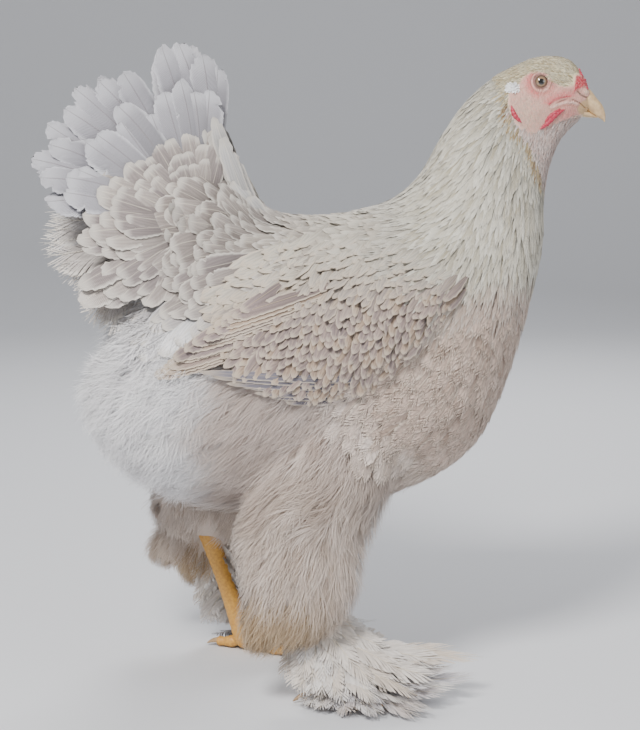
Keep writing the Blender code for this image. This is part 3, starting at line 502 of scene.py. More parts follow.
# How the coat lies on the side of the bird: x and z in centimetres and the way the feathers point in degrees
# (0 forwards, 90 up, 180 back, 270 down), under what grows there.
lie = {
    "hackle": [(15.5, 51.0, 215), (13.0, 49.5, 225), (17.5, 46.5, 262), (18.5, 43.0, 266), (18.7, 39.5, 268),
               (15.0, 45.0, 247), (11.5, 46.0, 232), (14.5, 40.0, 250), (10.0, 42.0, 228), (17.5, 35.8, 262),
               (12.5, 36.5, 240), (8.0, 41.8, 212), (8.2, 38.8, 222)],
    "breast": [(17.0, 31.0, 258), (15.5, 26.5, 248), (12.5, 22.5, 225), (13.0, 31.0, 240), (11.0, 27.0, 228),
               (6.0, 24.0, 212), (9.5, 20.5, 208)],
    "belly": [(5.0, 18.0, 195), (-1.0, 16.5, 190), (-7.0, 15.2, 186)],
    "cape": [(4.0, 40.5, 195), (0.0, 40.0, 186), (4.0, 37.2, 208), (0.5, 37.5, 196)],
    "saddle": [(-3.5, 40.2, 178), (-2.0, 38.0, 192), (-5.5, 38.5, 185)],
    "cushion": [(-6.0, 42.0, 140), (-9.0, 44.5, 135), (-12.0, 44.5, 155), (-8.5, 40.5, 172), (-13.5, 41.0, 185),
                (-11.5, 36.8, 205), (-15.0, 37.5, 218), (-8.0, 36.0, 207), (-13.0, 33.8, 226)],
    "under": [(-16.0, 34.0, 235), (-15.6, 31.8, 235)],
    "fluff": [(-17.5, 29.5, 215), (-19.8, 26.5, 225), (-17.5, 22.5, 228), (-13.5, 25.5, 215), (-13.5, 19.0, 215),
              (-13.0, 29.5, 215)],
    "flank": [(-9.0, 17.8, 208), (-8.0, 25.5, 218), (-4.0, 22.0, 225), (-8.5, 21.5, 222), (1.0, 21.5, 240),
              (-6.0, 29.0, 215)],
    "thigh": [(5.0, 19.0, 262), (4.2, 14.0, 268), (1.0, 15.0, 262), (-2.5, 15.5, 255), (-6.0, 13.5, 250),
              (2.5, 10.0, 268), (-1.5, 10.5, 256), (-5.5, 8.5, 246)],
    "hock": [(-5.4, 5.9, 244), (-4.2, 4.8, 242)],
}
kinds = sorted(lie)
lieRows = np.array([row for rows in lie.values() for row in rows])
lieKind = np.array([kinds.index(kind) for kind, rows in lie.items() for row in rows])


def nearRows(x, z, rows, soft):  # inverse distance weights of a table's rows
    return 1 / ((x[:, None] - rows[:, 0]) ** 2 + (z[:, None] - rows[:, 1]) ** 2 + soft) ** 2


def pointing(weights, degrees):  # the weighted heading in the side view
    x, z = weights @ np.cos(np.radians(degrees)), weights @ np.sin(np.radians(degrees))
    return unit(stack(x, 0, z))


def lieWeights(p):  # legs are taken on their own feet
    behind = (leg["foot"][right] - leg["foot"][left]) * (p[:, 1] > 0) * (1 - ramp(p[:, 2], 0.185, 0.225))
    weights = nearRows((p[:, 0] + behind) / cm, p[:, 2] / cm, lieRows, 0.5)
    return weights / weights.sum(1, keepdims=True)


def lieHere(p):  # the heading of the coat at each place
    return pointing(lieWeights(p), lieRows[:, 2])


def kindWeights(p):
    weights = lieWeights(p)
    return np.stack([weights[:, lieKind == k].sum(1) for k in range(len(kinds))], -1)


def coatTint(p, rng, spread=1.0):  # the kinds' colours blended as they meet, each feather between its pale and deep
    weights = kindWeights(p)
    share = np.clip(0.45 + spread * rng.normal(0, 0.28, len(p)), 0, 1)[:, None]
    pale, deep = (np.array([linear(coat[k][tone]) for k in kinds]) for tone in ("pale", "deep"))
    return mixed(weights @ pale, weights @ deep, share)


# Places on the form and lines over it

def scatter(form, spacing, wanted, seed):  # random places over the faces, none nearer to another than spacing
    rng = np.random.default_rng(seed)
    corner = form["points"][form["faces"]]
    area = 0.5 * np.linalg.norm(np.cross(corner[:, 2] - corner[:, 0], corner[:, 3] - corner[:, 1]), axis=1)
    area = area * wanted(corner.mean(1))
    number = int(area.sum() / spacing ** 2 * 5)
    face = rng.choice(len(area), number, p=area / area.sum())
    u, v = rng.uniform(0, 1, (2, number, 1))
    weights = np.stack([(1 - u) * (1 - v), u * (1 - v), u * v, (1 - u) * v], 1)
    points = (corner[face] * weights).sum(1)
    normals = unit((form["normals"][form["faces"][face]] * weights).sum(1))
    cells, kept = {}, []
    keys = np.floor(points / spacing).astype(int)
    near = [(i, j, k) for i in (-1, 0, 1) for j in (-1, 0, 1) for k in (-1, 0, 1)]
    for n, ((a, b, c), p) in enumerate(zip(keys.tolist(), points.tolist())):
        around = (o for i, j, k in near for o in cells.get((a + i, b + j, c + k), ()))
        if all((p[0] - o[0]) ** 2 + (p[1] - o[1]) ** 2 + (p[2] - o[2]) ** 2 >= spacing ** 2 for o in around):
            cells.setdefault((a, b, c), []).append(p)
            kept.append(n)
    return points[kept], normals[kept]


def nearest(form, points):
    found = [form["tree"].find_nearest(Vector(p)) for p in points]
    return np.array([f[0] for f in found]), form["faceNormals"][np.array([f[2] for f in found])]


def walk(form, starts, normals, lengths, turn, heading=lieHere, stations=6):
    # steps over the form's surface, each along the lie there mixed half and half with the way of the step before
    c, s = np.cos(turn)[:, None], np.sin(turn)[:, None]
    places, ups, going = [starts], [normals], None
    for k in range(stations - 1):
        here, up = places[-1], ups[-1]
        way = heading(here)
        way = unit(way - (way * up).sum(1, keepdims=True) * up)
        way = c * way + s * np.cross(up, way)
        going = way if going is None else unit(0.5 * going + 0.5 * way)
        going = unit(going - (going * up).sum(1, keepdims=True) * up)
        place, normal = nearest(form, here + going * (lengths / (stations - 1))[:, None])
        places.append(place)
        ups.append(unit(0.4 * up + 0.6 * normal))
    return np.stack(places, 1), np.stack(ups, 1)


def wingMargin(p):  # how far inside the folded wing's outline a place is, in the side view
    away = p[:, [0, 2]] - wing["shoulder"]
    a, b = away @ wingAxis, away @ wingUp
    low, high = wingEdges(a)
    return np.minimum(np.minimum(b - low, high - b), np.minimum(a + 0.005, 0.25 - a))


# Finishes of the plumage

def featherFinish(name, **changes):
    # Keratin barbs, matt and faintly glossy along the shaft. The web takes the point colour, the edge is paler, fine
    # pencilling follows the outline, and the barbs show as slanted lines in colour and bump.
    look = {**plume, **changes}
    made, tree, shader = newMaterial(name, {
        "Roughness": look["roughness"], "Specular IOR Level": 0.25,
        "Sheen Weight": look["sheen"], "Sheen Roughness": 0.5,
    })
    place = addNode(tree, "SeparateXYZ", {}, {0: addNode(tree, "UVMap", {"uv_map": "vane"}).outputs["UV"]}).outputs
    where = addNode(tree, "TexCoord").outputs["Object"]
    got = {
        "across": place["X"], "along": place["Y"],
        "tint": addNode(tree, "Attribute", {"attribute_name": "tint"}).outputs["Color"],
        "grain": addNode(tree, "TexNoise", {"Scale": 900.0, "Detail": 2.0}, {"Vector": where}).outputs["Fac"],
    }
    for result, kind, way, *inputs in (  # each input is a number or the result of an earlier row
        ("centred", "Math", "SUBTRACT", "across", 0.5),
        ("off", "Math", "ABSOLUTE", "centred"),
        ("leaning", "Math", "MULTIPLY_ADD", "off", -look["lean"], "along"),
        ("barbTurn", "Math", "MULTIPLY", "leaning", tau * look["barbs"]),
        ("barb", "Math", "SINE", "barbTurn"),
        ("edge", "MapRange", "SMOOTHSTEP", "off", look["edgeStart"], 0.48),
        ("end", "MapRange", "SMOOTHSTEP", "along", 0.80, 0.98),
        ("rim", "Math", "MAXIMUM", "edge", "end"),
        ("rimShare", "Math", "MULTIPLY", "rim", look["edgeMix"]),
        ("shaft", "MapRange", "SMOOTHSTEP", "off", 0.035, 0.0),
        ("shaftShare", "Math", "MULTIPLY", "shaft", look["shaftMix"]),
        ("far", "Math", "MULTIPLY", "off", 1.6),
        ("ring", "Math", "MULTIPLY_ADD", "along", 0.55, "far"),
        ("pencilTurn", "Math", "MULTIPLY", "ring", tau * look["pencils"]),
        ("pencil", "Math", "SINE", "pencilTurn"),
        ("marks", "Math", "MULTIPLY_ADD", "pencil", look["pencilDepth"], 1.0),
        ("lines", "Math", "MULTIPLY_ADD", "barb", look["barbDepth"], 0.0),
        ("speckle", "MapRange", "LINEAR", "grain", 0, 1, -look["grain"], look["grain"]),
        ("lined", "Math", "ADD", "marks", "lines"),
        ("speckled", "Math", "ADD", "lined", "speckle"),
        ("covered", "MapRange", "LINEAR", "along", 0.30, 0.85, 1 - look["shade"], 1.0),  # painted shade: the root darkened as if shaded by the feathers laid over it
        ("shade", "Math", "MULTIPLY", "speckled", "covered"),
        ("relief", "Math", "MULTIPLY_ADD", "shaft", 2.5, "barb"),
    ):
        values = {k: v for k, v in enumerate(inputs) if not isinstance(v, str)}
        sources = {k: got[v] for k, v in enumerate(inputs) if isinstance(v, str)}
        mode = "operation" if kind == "Math" else "interpolation_type"
        got[result] = addNode(tree, kind, {mode: way, **values}, sources).outputs[0]
    colour = addNode(tree, "VectorMath", {"operation": "SCALE"}, {0: got["tint"], "Scale": got["shade"]}).outputs[0]
    for share, tone in (("rimShare", "edge"), ("shaftShare", "shaft")):
        settings = {"data_type": "RGBA", 7: opaque(look[tone])}
        colour = addNode(tree, "Mix", settings, {0: got[share], 6: colour}).outputs[2]
    tree.links.new(colour, shader.inputs["Base Color"])
    bumped = addNode(tree, "Bump", {"Strength": look["bump"], "Distance": 0.0003}, {"Height": got["relief"]})
    tree.links.new(bumped.outputs["Normal"], shader.inputs["Normal"])
    return made


# shade is how deep each finish's painted root shade goes
plume = {"roughness": 0.72, "sheen": 0.15, "lean": 0.5, "barbs": 26, "edgeStart": 0.34, "edgeMix": 0.35,
         "edge": "#efece4", "shaft": "#efe6d2", "shaftMix": 0.4, "pencils": 3, "pencilDepth": 0.0, "barbDepth": 0.05,
         "grain": 0.08, "bump": 0.6, "shade": 0.3}
finishes = {
    "hackle": featherFinish("hackle plumage", barbs=10, barbDepth=0.04, sheen=0.2, shade=0.45),
    "body": featherFinish("soft contour plumage", edgeMix=0.4, edge="#e2d6c6", barbDepth=0.07),
    "cushion": featherFinish("pencilled cushion plumage", barbs=34, edge="#dcd6cd", edgeMix=0.8, pencils=4.5,
                             pencilDepth=0.09, barbDepth=0.10),
    "wing": featherFinish("fawn wing plumage", barbs=22, edge="#d8c9b6", edgeMix=0.75, shaft="#d2bd98", shaftMix=0.5,
                          pencils=2.5, pencilDepth=0.12, edgeStart=0.33),
    "quill": featherFinish("lavender quill", barbs=44, shade=0.45, edge="#dcdce1", edgeMix=0.6, shaft="#857f82",
                           shaftMix=0.7, barbDepth=0.12, roughness=0.6),
    "boot": featherFinish("foot plumage", barbs=30, edge="#e2dfdc", edgeMix=0.3, shaft="#e8dcc4", shaftMix=0.7,
                          barbDepth=0.08),
    "down": featherFinish("down", roughness=0.9, sheen=0.35, barbDepth=0.0, edgeMix=0.15, shaftMix=0.0,
                          edge="#f4f4f6", bump=0.0, grain=0.03, shade=0.2),
}

# Coat of the body, neck and legs: millimetres, the angle in degrees that feathers stray by, pale and deep colours
coatKeys = ("spacing", "length", "half", "depth", "lift", "stray", "pale", "deep", "finish", "slot", "shapes")
coat = {kind: dict(zip(coatKeys, row)) for kind, row in {
    "hackle": (3.0, 42, 2.1, 2.6, 0.5, 5, "#ddd9cb", "#b5ac95", "hackle", "hackle feather",
               several(3, vaneShape, 8, 3, 0.5, 0.45, 1.6, 0.2, 0.35)),
    "cape": (5.6, 32, 5.6, 3.5, 0.9, 8, "#d0cbbe", "#a0978a", "body", "body feather",
             several(3, vaneShape, 12, 5, 0.4, 0.6, 2.2, 0.06, 0.35)),
    "breast": (6.6, 36, 8.0, 4.5, 0.9, 7, "#c9b3a5", "#a58f81", "body", "body feather",
               several(3, barbShape, 24, 2, 0.5, 0.62, 2.3, 0.2, 0.5, 0.3)),
    "belly": (7.0, 38, 9, 7.0, 1.5, 12, "#cdbcb0", "#ab9b8f", "down", "body feather",
              several(3, tuftShape, 20, 3, 1.0, 0.35, 0.045)),
    "saddle": (6.0, 40, 5.4, 4.5, 1.3, 8, "#bcb3a8", "#8e857c", "cushion", "body feather",
               several(3, vaneShape, 14, 7, 0.4, 0.62, 2.2, 0.05, 0.4)),
    "cushion": (9.0, 44, 9.6, 7.0, 2.6, 9, "#a89e98", "#857b76", "cushion", "body feather",
                several(4, vaneShape, 16, 7, 0.4, 0.68, 2.3, 0.04, 0.45)),
    "under": (6.0, 40, 13, 6.0, 5.0, 18, "#d6d4d6", "#aea9a8", "down", "tail feather",
              several(3, tuftShape, 17, 4, 1.0, 0.8, 0.05)),
    "fluff": (4.4, 29, 7.5, 9.0, 5.5, 30, "#fafafb", "#e9e7ea", "down", "fluff",
              several(4, tuftShape, 13, 3, 1.1, 0.9, 0.034)),
    "flank": (5.0, 38, 7.0, 9.0, 1.5, 12, "#dccfc7", "#b9a79c", "down", "fluff",
              several(4, tuftShape, 13, 3, 0.9, 0.45, 0.04)),
    "thigh": (5.0, 34, 6.5, 8.0, 1.5, 12, "#dccfc5", "#b9a798", "down", "fluff",
              several(4, tuftShape, 12, 3, 0.9, 0.5, 0.04)),
    "hock": (4.6, 30, 6.0, 7.0, 2.0, 14, "#cab396", "#a88e6c", "down", "fluff",
             several(4, tuftShape, 11, 3, 0.9, 0.6, 0.04)),
}.items()}
ruff = {"z": (41.0, 43.08, 44.51, 45.82, 46.65, 47.36, 48.31, 49.49, 50.78, 51.8, 53.2),
        "x": (19.9, 18.96, 18.45, 17.95, 17.7, 16.97, 16.23, 15.74, 15.5, 15.0, 14.4)}


def ahead(p):  # how far a place lies before the edge of the hackle, in the side view
    return p[:, 0] - np.interp(p[:, 2] / cm, ruff["z"], ruff["x"]) * cm


def coatDepth(p):
    depth = kindWeights(p) @ np.array([coat[k]["depth"] for k in kinds]) * mm
    return 0.0006 + (depth - 0.0006) * np.where(p[:, 2] > 0.40, ramp(-ahead(p), 0.0, 0.045), 1)


def fromShank(p):  # how far a place of the leg's inner side is from the shank, which stays bare there
    side = np.where(p[:, 1] > 0, left, right)
    x = p[:, 0] - np.where(p[:, 1] > 0, hock(left)[0], hock(right)[0])
    off = np.abs(x - (leg["hockHeight"] - p[:, 2]) * leg["hockBack"] / (leg["hockHeight"] - 0.026))
    return np.where((side * p[:, 1] < 0.072) & (p[:, 2] < 0.128), off, 1.0)


def growZone(kind, seed):
    look = coat[kind]
    rng = np.random.default_rng(seed)

    def wanted(p):
        edge = kindWeights(p + 0.004 * np.sin(p[:, [2, 0, 1]] * 700)).argmax(1) == kinds.index(kind)
        underWing = (wingMargin(p) > 0.012) & (np.abs(p[:, 1]) > 0.05)
        return edge & ~underWing & (fromShank(p) >= 0.013) & (ahead(p) < 0.0005)

    starts, normals = scatter(envelope, look["spacing"] * mm, wanted, seed)
    n = len(starts)
    turn = np.radians(look["stray"]) * rng.normal(0, 1, n)
    near = 0.3 + 0.7 * np.where(starts[:, 2] > 0.42, ramp(-ahead(starts), 0.0, 0.06), 1)
    lengths = look["length"] * mm * rng.uniform(0.82, 1.12, n) * near
    starts = starts - 0.35 * lengths[:, None] * lieHere(starts)
    kept = ahead(starts) < 0.003
    starts, normals = nearest(envelope, starts[kept])
    n, lengths, near = len(starts), lengths[kept], near[kept]
    places, ups = walk(envelope, starts, normals, lengths, turn[kept])
    t, lift = steps(6), look["lift"] * mm * rng.uniform(0.0, 1.5, n) * near
    height = -coatDepth(starts)[:, None] * (1 - t) ** 1.6 + lift[:, None] * t ** 2  # roots sunk, tips raised
    tints = coatTint(places[:, -1], rng)
    halves = look["half"] * mm * rng.uniform(0.85, 1.15, n) * (0.4 + 0.6 * near)
    part = grow(places + height[..., None] * ups, ups, halves, look["shapes"], tints, seed, 0.12 * rng.normal(0, 1, n))
    softness = {"down": 0.8, "hackle": 0.65}.get(look["finish"], 0.5)
    coatPiece(kind + "Coat", look["slot"], look["finish"], part, soft=softness)


# One skin under the whole coat
skinDepth = 0.9 * coatDepth(envelope["points"]) + 0.003 * ramp(ahead(envelope["points"]), -0.008, 0.0)
skinPoints = envelope["points"] - envelope["normals"] * skinDepth[:, None]
# the skin takes the coat's colour, a twentieth darker as painted shade in the gaps between the feathers
skinTint = coatTint(envelope["points"], np.random.default_rng(5), 0.0) * 0.95

for number, kind in enumerate(kinds):
    growZone(kind, 20 + number)

# Tail: a tented fan of quills, coverts laid over them, and soft plumes beneath

tail = {
    "reachAt": (87, 95, 105, 111, 117, 127, 150, 160, 171),
    "reach": (0.137, 0.151, 0.154, 0.148, 0.150, 0.161, 0.156, 0.151, 0.138),
    "quills": {right: (85, 91, 97, 103, 118, 125, 132, 139, 146, 152, 158, 164, 171),
               left: (88, 94, 100, 106, 121, 128, 135, 142, 149, 155, 161, 168, 175)},
    "quillHalf": 13.5,
    "coverAt": (80, 110, 130, 150, 170, 195, 215),
    "coverReach": (0.091, 0.082, 0.085, 0.093, 0.097, 0.100, 0.104),
    "coverRows": ((17, 220, 1.04, 0.0), (18, 226, 0.88, 0.005), (18, 238, 0.74, 0.009), (17, 250, 0.6, 0.012)),
    "underAt": (171, 190, 209, 225, 248),
    "underReach": (0.128, 0.133, 0.127, 0.130, 0.106),
}


def fanStep(degrees):
    return np.minimum((degrees - 87) / 12.5, 7)


def fanSide(degrees, reach):  # how far out from the midplane the tail stands at an angle and reach of its fan
    return 0.006 + 0.003 * fanStep(degrees) + (0.006 + 0.0055 * fanStep(degrees)) * (reach - 0.03) / 0.122


def fanLines(side, degrees, *settings):
    # straight from start to reach along its spoke and from near to far out, plus bend * t^2 outwards and
    # sweep * (t^2 - t) back, both in lengths of the feather
    start, reach, near, far, tilt, bend, sweep = (np.broadcast_to(v, len(degrees))[:, None] for v in settings)
    a, out = np.radians(degrees), np.array([0, side, 0.0])
    spoke, across = stack(np.cos(a), 0, np.sin(a)), stack(np.sin(a), 0, -np.cos(a))
    root, tip = (tailRoot + spoke * along + out * away for along, away in ((start, near), (reach, far)))
    normal = unit(np.cos(tilt) * out + np.sin(tilt) * across)[:, None]
    t, length = steps(8)[None, :, None], np.linalg.norm(tip - root, axis=1)[:, None, None]
    bent = bend[..., None] * t ** 2 * normal + sweep[..., None] * (t - t ** 2) * across[:, None]
    return root[:, None] + (tip - root)[:, None] * t + length * bent, np.repeat(normal, 8, 1)


def growTail():
    rng = np.random.default_rng(71)
    quillShapes = several(6, vaneShape, 34, 9, 0.42, 0.72, 2.5, 0.03, 0.45, notches=1)
    coverShapes = several(5, vaneShape, 20, 7, 0.4, 0.7, 2.3, 0.03, 0.4, notches=1)
    plumeShapes = several(4, barbShape, 44, 3, 0.5, 0.62, 2.3, 0.28, 0.8, 0.35)
    silver, slate, beige, grey, white = (linear(c) for c in ("#b2b0b7", "#817f87", "#b3a9a2", "#8b8180", "#dededf"))
    quills, covers, plumes = [], [], []
    for side in (right, left):
        degrees = np.array(tail["quills"][side], float)
        n = len(degrees)
        reach = np.interp(degrees, tail["reachAt"], tail["reach"])
        reach = (reach - 0.12 * fanSide(degrees, reach)) * rng.uniform(0.93, 1.03, n)
        lines, ups = fanLines(side, degrees, 0.030, reach, fanSide(degrees, 0.03), fanSide(degrees, reach),
                              0.42, rng.uniform(-0.02, 0.10, n), rng.uniform(-0.05, 0.34, n))
        share = rng.uniform(0, 1, (n, 1))
        quills.append(grow(lines, ups, tail["quillHalf"] * mm * rng.uniform(0.9, 1.1, n), quillShapes,
                           mixed(slate, silver, share), 1, 0.22 * rng.normal(0, 1, n),
                           mixed(silver, slate, 0.3 * share)))
        # lesser quills that stand before them
        degrees = np.linspace(88, 172, 12) + 4.0 * side + rng.uniform(-3, 3, 12)
        reach = np.interp(degrees, (88, 110, 130, 168), (0.122, 0.108, 0.120, 0.118)) * rng.uniform(0.90, 1.05, 12)
        lines, ups = fanLines(side, degrees, 0.034, reach, 0.026 + 0.003 * fanStep(degrees),
                              fanSide(degrees, reach) + 0.006, 0.38, 0.03, rng.uniform(-0.05, 0.3, 12))
        quills.append(grow(lines, ups, 12.5 * mm * rng.uniform(0.9, 1.1, 12), quillShapes,
                           silver * rng.uniform(0.75, 1.05, (12, 1)), 2, 0.25 * rng.normal(0, 1, 12)))
        # the cushion's outermost coverts, in four rows
        for row, (count, final, shrink, lower) in enumerate(tail["coverRows"]):
            degrees = np.linspace(86, final, count) + (2 + 2 * row) * side + rng.uniform(-4, 4, count)
            reach = np.interp(degrees, tail["coverAt"], tail["coverReach"]) * shrink * rng.uniform(0.92, 1.08, count)
            near = 0.026 + 0.003 * fanStep(degrees) + 0.003 * row
            lines, ups = fanLines(side, degrees, 0.030 - 0.003 * row, reach, near,
                                  fanSide(degrees, reach) + 0.012 + lower, 0.34, -0.05, rng.uniform(-0.02, 0.14, count))
            covers.append(growMixed(rng, lines, ups, 11.5 - 0.9 * row, coverShapes, grey, beige, 3 + row, 0.12))
        # feathers that lap over the spot all the others fan from
        x, z = 0.024 + 0.009 * rng.normal(0, 1, (26, 1)), rng.uniform(-0.034, 0.008, (26, 1))
        turn = np.radians(168 - 1000 * z + 8 * rng.normal(0, 1, (26, 1)))
        length = 0.044 * rng.uniform(0.85, 1.15, (26, 1)) * steps(8)
        near = atSide("width", tailRoot[0] + x, tailRoot[2] + z) - 0.003
        far = np.maximum(near + 0.006, 0.064 - 0.2 * np.abs(z)) + rng.uniform(0, 0.004, (26, 1))
        lines = stack(tailRoot[0] + x + np.cos(turn) * length, side * (near + (far - near) * steps(8)),
                      tailRoot[2] + z + np.sin(turn) * length)
        ups = np.tile(unit(np.array([0, side, 0.15])), (26, 8, 1))
        covers.append(growMixed(rng, lines, ups, 8.5, coverShapes, grey, beige, 8, 0.12))
        # feathers along the front edge, and soft plumes under the tail
        k = np.arange(14)[:, None]
        front = np.radians(112 + 0.8 * k + rng.uniform(-5, 5, (14, 1)))
        root = stack(-0.060 + 0.0016 * k, 0.020 * side - 0.004 * side * (k % 3), 0.402 - 0.0010 * k)
        way = stack(np.cos(front), 0.10 * side + rng.uniform(-0.06, 0.06, (14, 1)), np.sin(front))
        lines = root + way * (0.090 - 0.0044 * k)[..., None] * steps(8)[:, None]
        ups = np.tile(unit(np.array([0.35, side, 0.2])), (14, 8, 1))
        covers.append(grow(lines, ups, 7.5 * mm, coverShapes, linear("#c9c7c6") * rng.uniform(0.75, 1.0, (14, 1)), 9,
                           0.3 * rng.normal(0, 1, 14)))
        degrees = np.linspace(172, 248, 18) + 2.5 * side
        reach = np.interp(degrees, tail["underAt"], tail["underReach"]) * rng.uniform(0.90, 1.03, 18)
        lines, ups = fanLines(side, degrees, 0.045, reach, 0.014 + 0.004 * (np.arange(18) % 3),
                              0.020 + 0.007 * (degrees - 171) / 16.5, 0.30, 0.04, rng.uniform(-0.1, 0.15, 18))
        plumes.append(growMixed(rng, lines, ups, 16, plumeShapes, beige, white, 6, 0.3))
    coatPiece("tailQuills", "tail feather", "quill", together(quills), "tail")
    coatPiece("tailCoverts", "tail feather", "cushion", together(covers))
    coatPiece("underTailPlumes", "tail feather", "cushion", together(plumes), soft=0.7)


growTail()

# Wings

wingCoat = {"along": 7.2, "across": 6.0, "length": 25, "half": 4.3,  # millimetres
            "rearAt": (-0.061, -0.037, -0.021, 0.0, 0.02, 0.035, 0.06),
            "rear": (0.114, 0.158, 0.180, 0.184, 0.188, 0.194, 0.180)}


def wingLines(side, start, end, rise, stations=7):
    # straight in the wing's chart from start to end, at the wing's lift plus a rise that runs from root to tip
    p, q = (start[:, k, None] + (end - start)[:, k, None] * steps(stations) for k in (0, 1))
    rise = np.asarray(rise, float).reshape(-1, 2) + np.zeros((len(start), 2))
    lift = wingLift(p, q) + rise[:, 0, None] + (rise[:, 1] - rise[:, 0])[:, None] * steps(stations)
    alongP, alongQ = (
        wingPlace(p + a, q + b, wingLift(p + a, q + b), side) - wingPlace(p - a, q - b, wingLift(p - a, q - b), side)
        for a, b in ((0.002, 0), (0, 0.002)))
    ups = unit(np.cross(alongP, alongQ))
    return wingPlace(p, q, lift, side), ups * np.sign(ups[..., 1:2] * side)


def growWing(side, word):
    rng = np.random.default_rng(90 + (side > 0))
    fawn, mauve, straw, cream, grey = (linear(c) for c in ("#ab9890", "#8c7d7b", "#bfa384", "#c9c2b5", "#85818b"))
    # secondaries, the lowest first, each laid over the one below
    k = np.arange(11)
    tip = stack(0.246 - 0.0064 * k, -0.012 + 0.0036 * k) + 0.001 * rng.uniform(-1, 1, (11, 2))
    lines, ups = wingLines(side, tip + (-0.090, 0.010), tip, stack(-0.004 + 0.0004 * k, 0.001 + 0.0006 * k), 8)
    share = rng.uniform(0, 1, (11, 1))
    flights = [grow(lines, ups, 7.0 * mm, several(3, vaneShape, 26, 5, 0.7, 0.75, 2.6, 0.04, 0.2),
                    mixed(mauve, straw, 0.5 * share), 1, -0.2 * side)]
    # broad tertials that cover their upper edge
    k = np.arange(8)
    tip = stack(0.226 - 0.0090 * k, 0.0040 * k) + 0.0015 * rng.uniform(-1, 1, (8, 2))
    root = tip + stack(-0.036 + 0.002 * rng.uniform(-1, 1, 8), 0.014 + 0.003 * rng.uniform(-1, 1, 8))
    lines, ups = wingLines(side, root, tip, (0.000, 0.0085), 6)
    flights.append(grow(lines, ups, 6.6 * mm, several(3, vaneShape, 18, 7, 0.4, 0.62, 1.8, 0.05, 0.5, notches=1),
                        mauve * rng.uniform(0.9, 1.25, (8, 1)), 4, 0.15 * rng.normal(0, 1, 8)))
    # primaries, whose grey blades show below them
    k = np.arange(7)
    tip = stack(0.208 - 0.0105 * k, -0.014 - 0.0062 * k) + 0.001 * rng.uniform(-1, 1, (7, 2))
    lines, ups = wingLines(side, stack(0.085 + 0.002 * k, -0.044 - 0.0025 * k), tip,
                           stack(-0.001 - 0.0002 * k, 0.003 - 0.0004 * k), 8)
    flights.append(grow(lines, ups, 4.2 * mm, several(2, vaneShape, 26, 5, 0.8, 0.5, 1.7, 0.03, 0.2),
                        grey * rng.uniform(0.8, 1.1, (7, 1)), 2, -0.3 * side))
    coatPiece("wingFlights" + word, "wing feather", "wing", together(flights), "wing_" + word.lower())
    # small coverts over the bow, hanging down and back in staggered rows
    along, across = wingCoat["along"] * mm, wingCoat["across"] * mm
    q, p = np.meshgrid(np.arange(-0.075, 0.085, along), np.arange(-0.01, 0.20, across), indexing="ij")
    p, q = p.ravel(), q.ravel()
    p = p + across * 0.5 * (np.round((q + 0.075) / along) % 2)
    p, q = p + rng.uniform(-1, 1, p.shape) * 1.6 * mm, q + rng.uniform(-1, 1, p.shape) * 1.6 * mm
    low, high = wingEdges(p)
    keep = (q > low + 0.002) & (q < high + 0.003 + 0.009 * ramp(p, 0.09, 0.12)) & (p > -0.004)
    keep &= p < np.interp(q, wingCoat["rearAt"], wingCoat["rear"])
    p, q, low, high = p[keep], q[keep], low[keep], high[keep]
    n, height = len(p), np.clip((q - low) / (high - low), 0, 1)
    turn = np.interp(height, (0, 0.5, 1), (58, 56, 26)) + np.interp(p, (0, 0.05, 0.12, 0.18), (-18, 0, 0, -22))
    turn = np.radians(turn + 9 * rng.normal(0, 1, n))
    way = stack(np.cos(turn), -np.sin(turn))
    large = 1 + 0.55 * ramp(p + 0.5 * np.clip(q, 0, 1), 0.12, 0.19)  # the coverts towards the rear
    length = (wingCoat["length"] * mm * rng.uniform(0.85, 1.15, n) * large)[:, None]
    tip = stack(p, q) + way * length * 0.25
    lines, ups = wingLines(side, tip - way * length, tip, stack(-0.0045, rng.uniform(0.0008, 0.0042, n)))
    share, strawy = rng.uniform(0, 1, (n, 1)), (rng.uniform(0, 1, (n, 1)) < 0.2 + 0.2 * (height[:, None] < 0.3))
    tint = mixed(fawn, mauve, share)
    tint = np.where(strawy, mixed(tint, straw, 0.45), tint)
    tint = mixed(tint, cream, ramp(height - 1.5 * np.clip(p - 0.1, 0, 1), 0.45, 1.0)[:, None])
    bow = grow(lines, ups, wingCoat["half"] * mm * rng.uniform(0.85, 1.15, n) * large,
               several(4, vaneShape, 10, 5, 0.42, 0.58, 1.5, 0.05, 0.6), tint, 3, 0.28 * rng.normal(0, 1, n))
    coatPiece("wingCoverts" + word, "wing feather", "wing", bow)


for side, word in sideWords:
    growWing(side, word)

# Legs: scaled shank and toes, feathers down the outer side and over the foot

toes = {  # turn outwards in degrees, length, radius at the root and at the tip, joints
    "hind": (162, 0.026, 0.0056, 0.0040, 1), "inner": (-30, 0.048, 0.0062, 0.0042, 2),
    "middle": (0, 0.066, 0.0068, 0.0044, 3), "outer": (28, 0.052, 0.0062, 0.0042, 3),
}
bootTiers = (  # height, length ahead and at the side, slope ahead and at the side, bend, number, first and last turn
    (0.098, 0.042, 0.040, -1.0, -2.2, -0.10, 9, -20, 150), (0.088, 0.050, 0.042, -0.6, -1.8, -0.16, 9, -25, 150),
    (0.078, 0.056, 0.046, -0.35, -1.4, -0.18, 10, -28, 140), (0.068, 0.064, 0.048, -0.2, -1.1, -0.18, 10, -28, 140),
    (0.058, 0.080, 0.048, -0.1, -0.9, -0.18, 10, -22, 130), (0.048, 0.105, 0.048, -0.02, -0.7, -0.15, 10, -14, 125),
    (0.038, 0.122, 0.046, 0.06, -0.5, -0.12, 9, -10, 120),
)
bootLayers = (  # first and last turn over the toes, number, share of the reach, height of the roots
    (-10, 140, 15, 1.0, 0.0140), (-4, 120, 12, 0.85, 0.0190), (0, 90, 9, 0.68, 0.0240),
)
upwards = np.array([0, 0, 1.0])


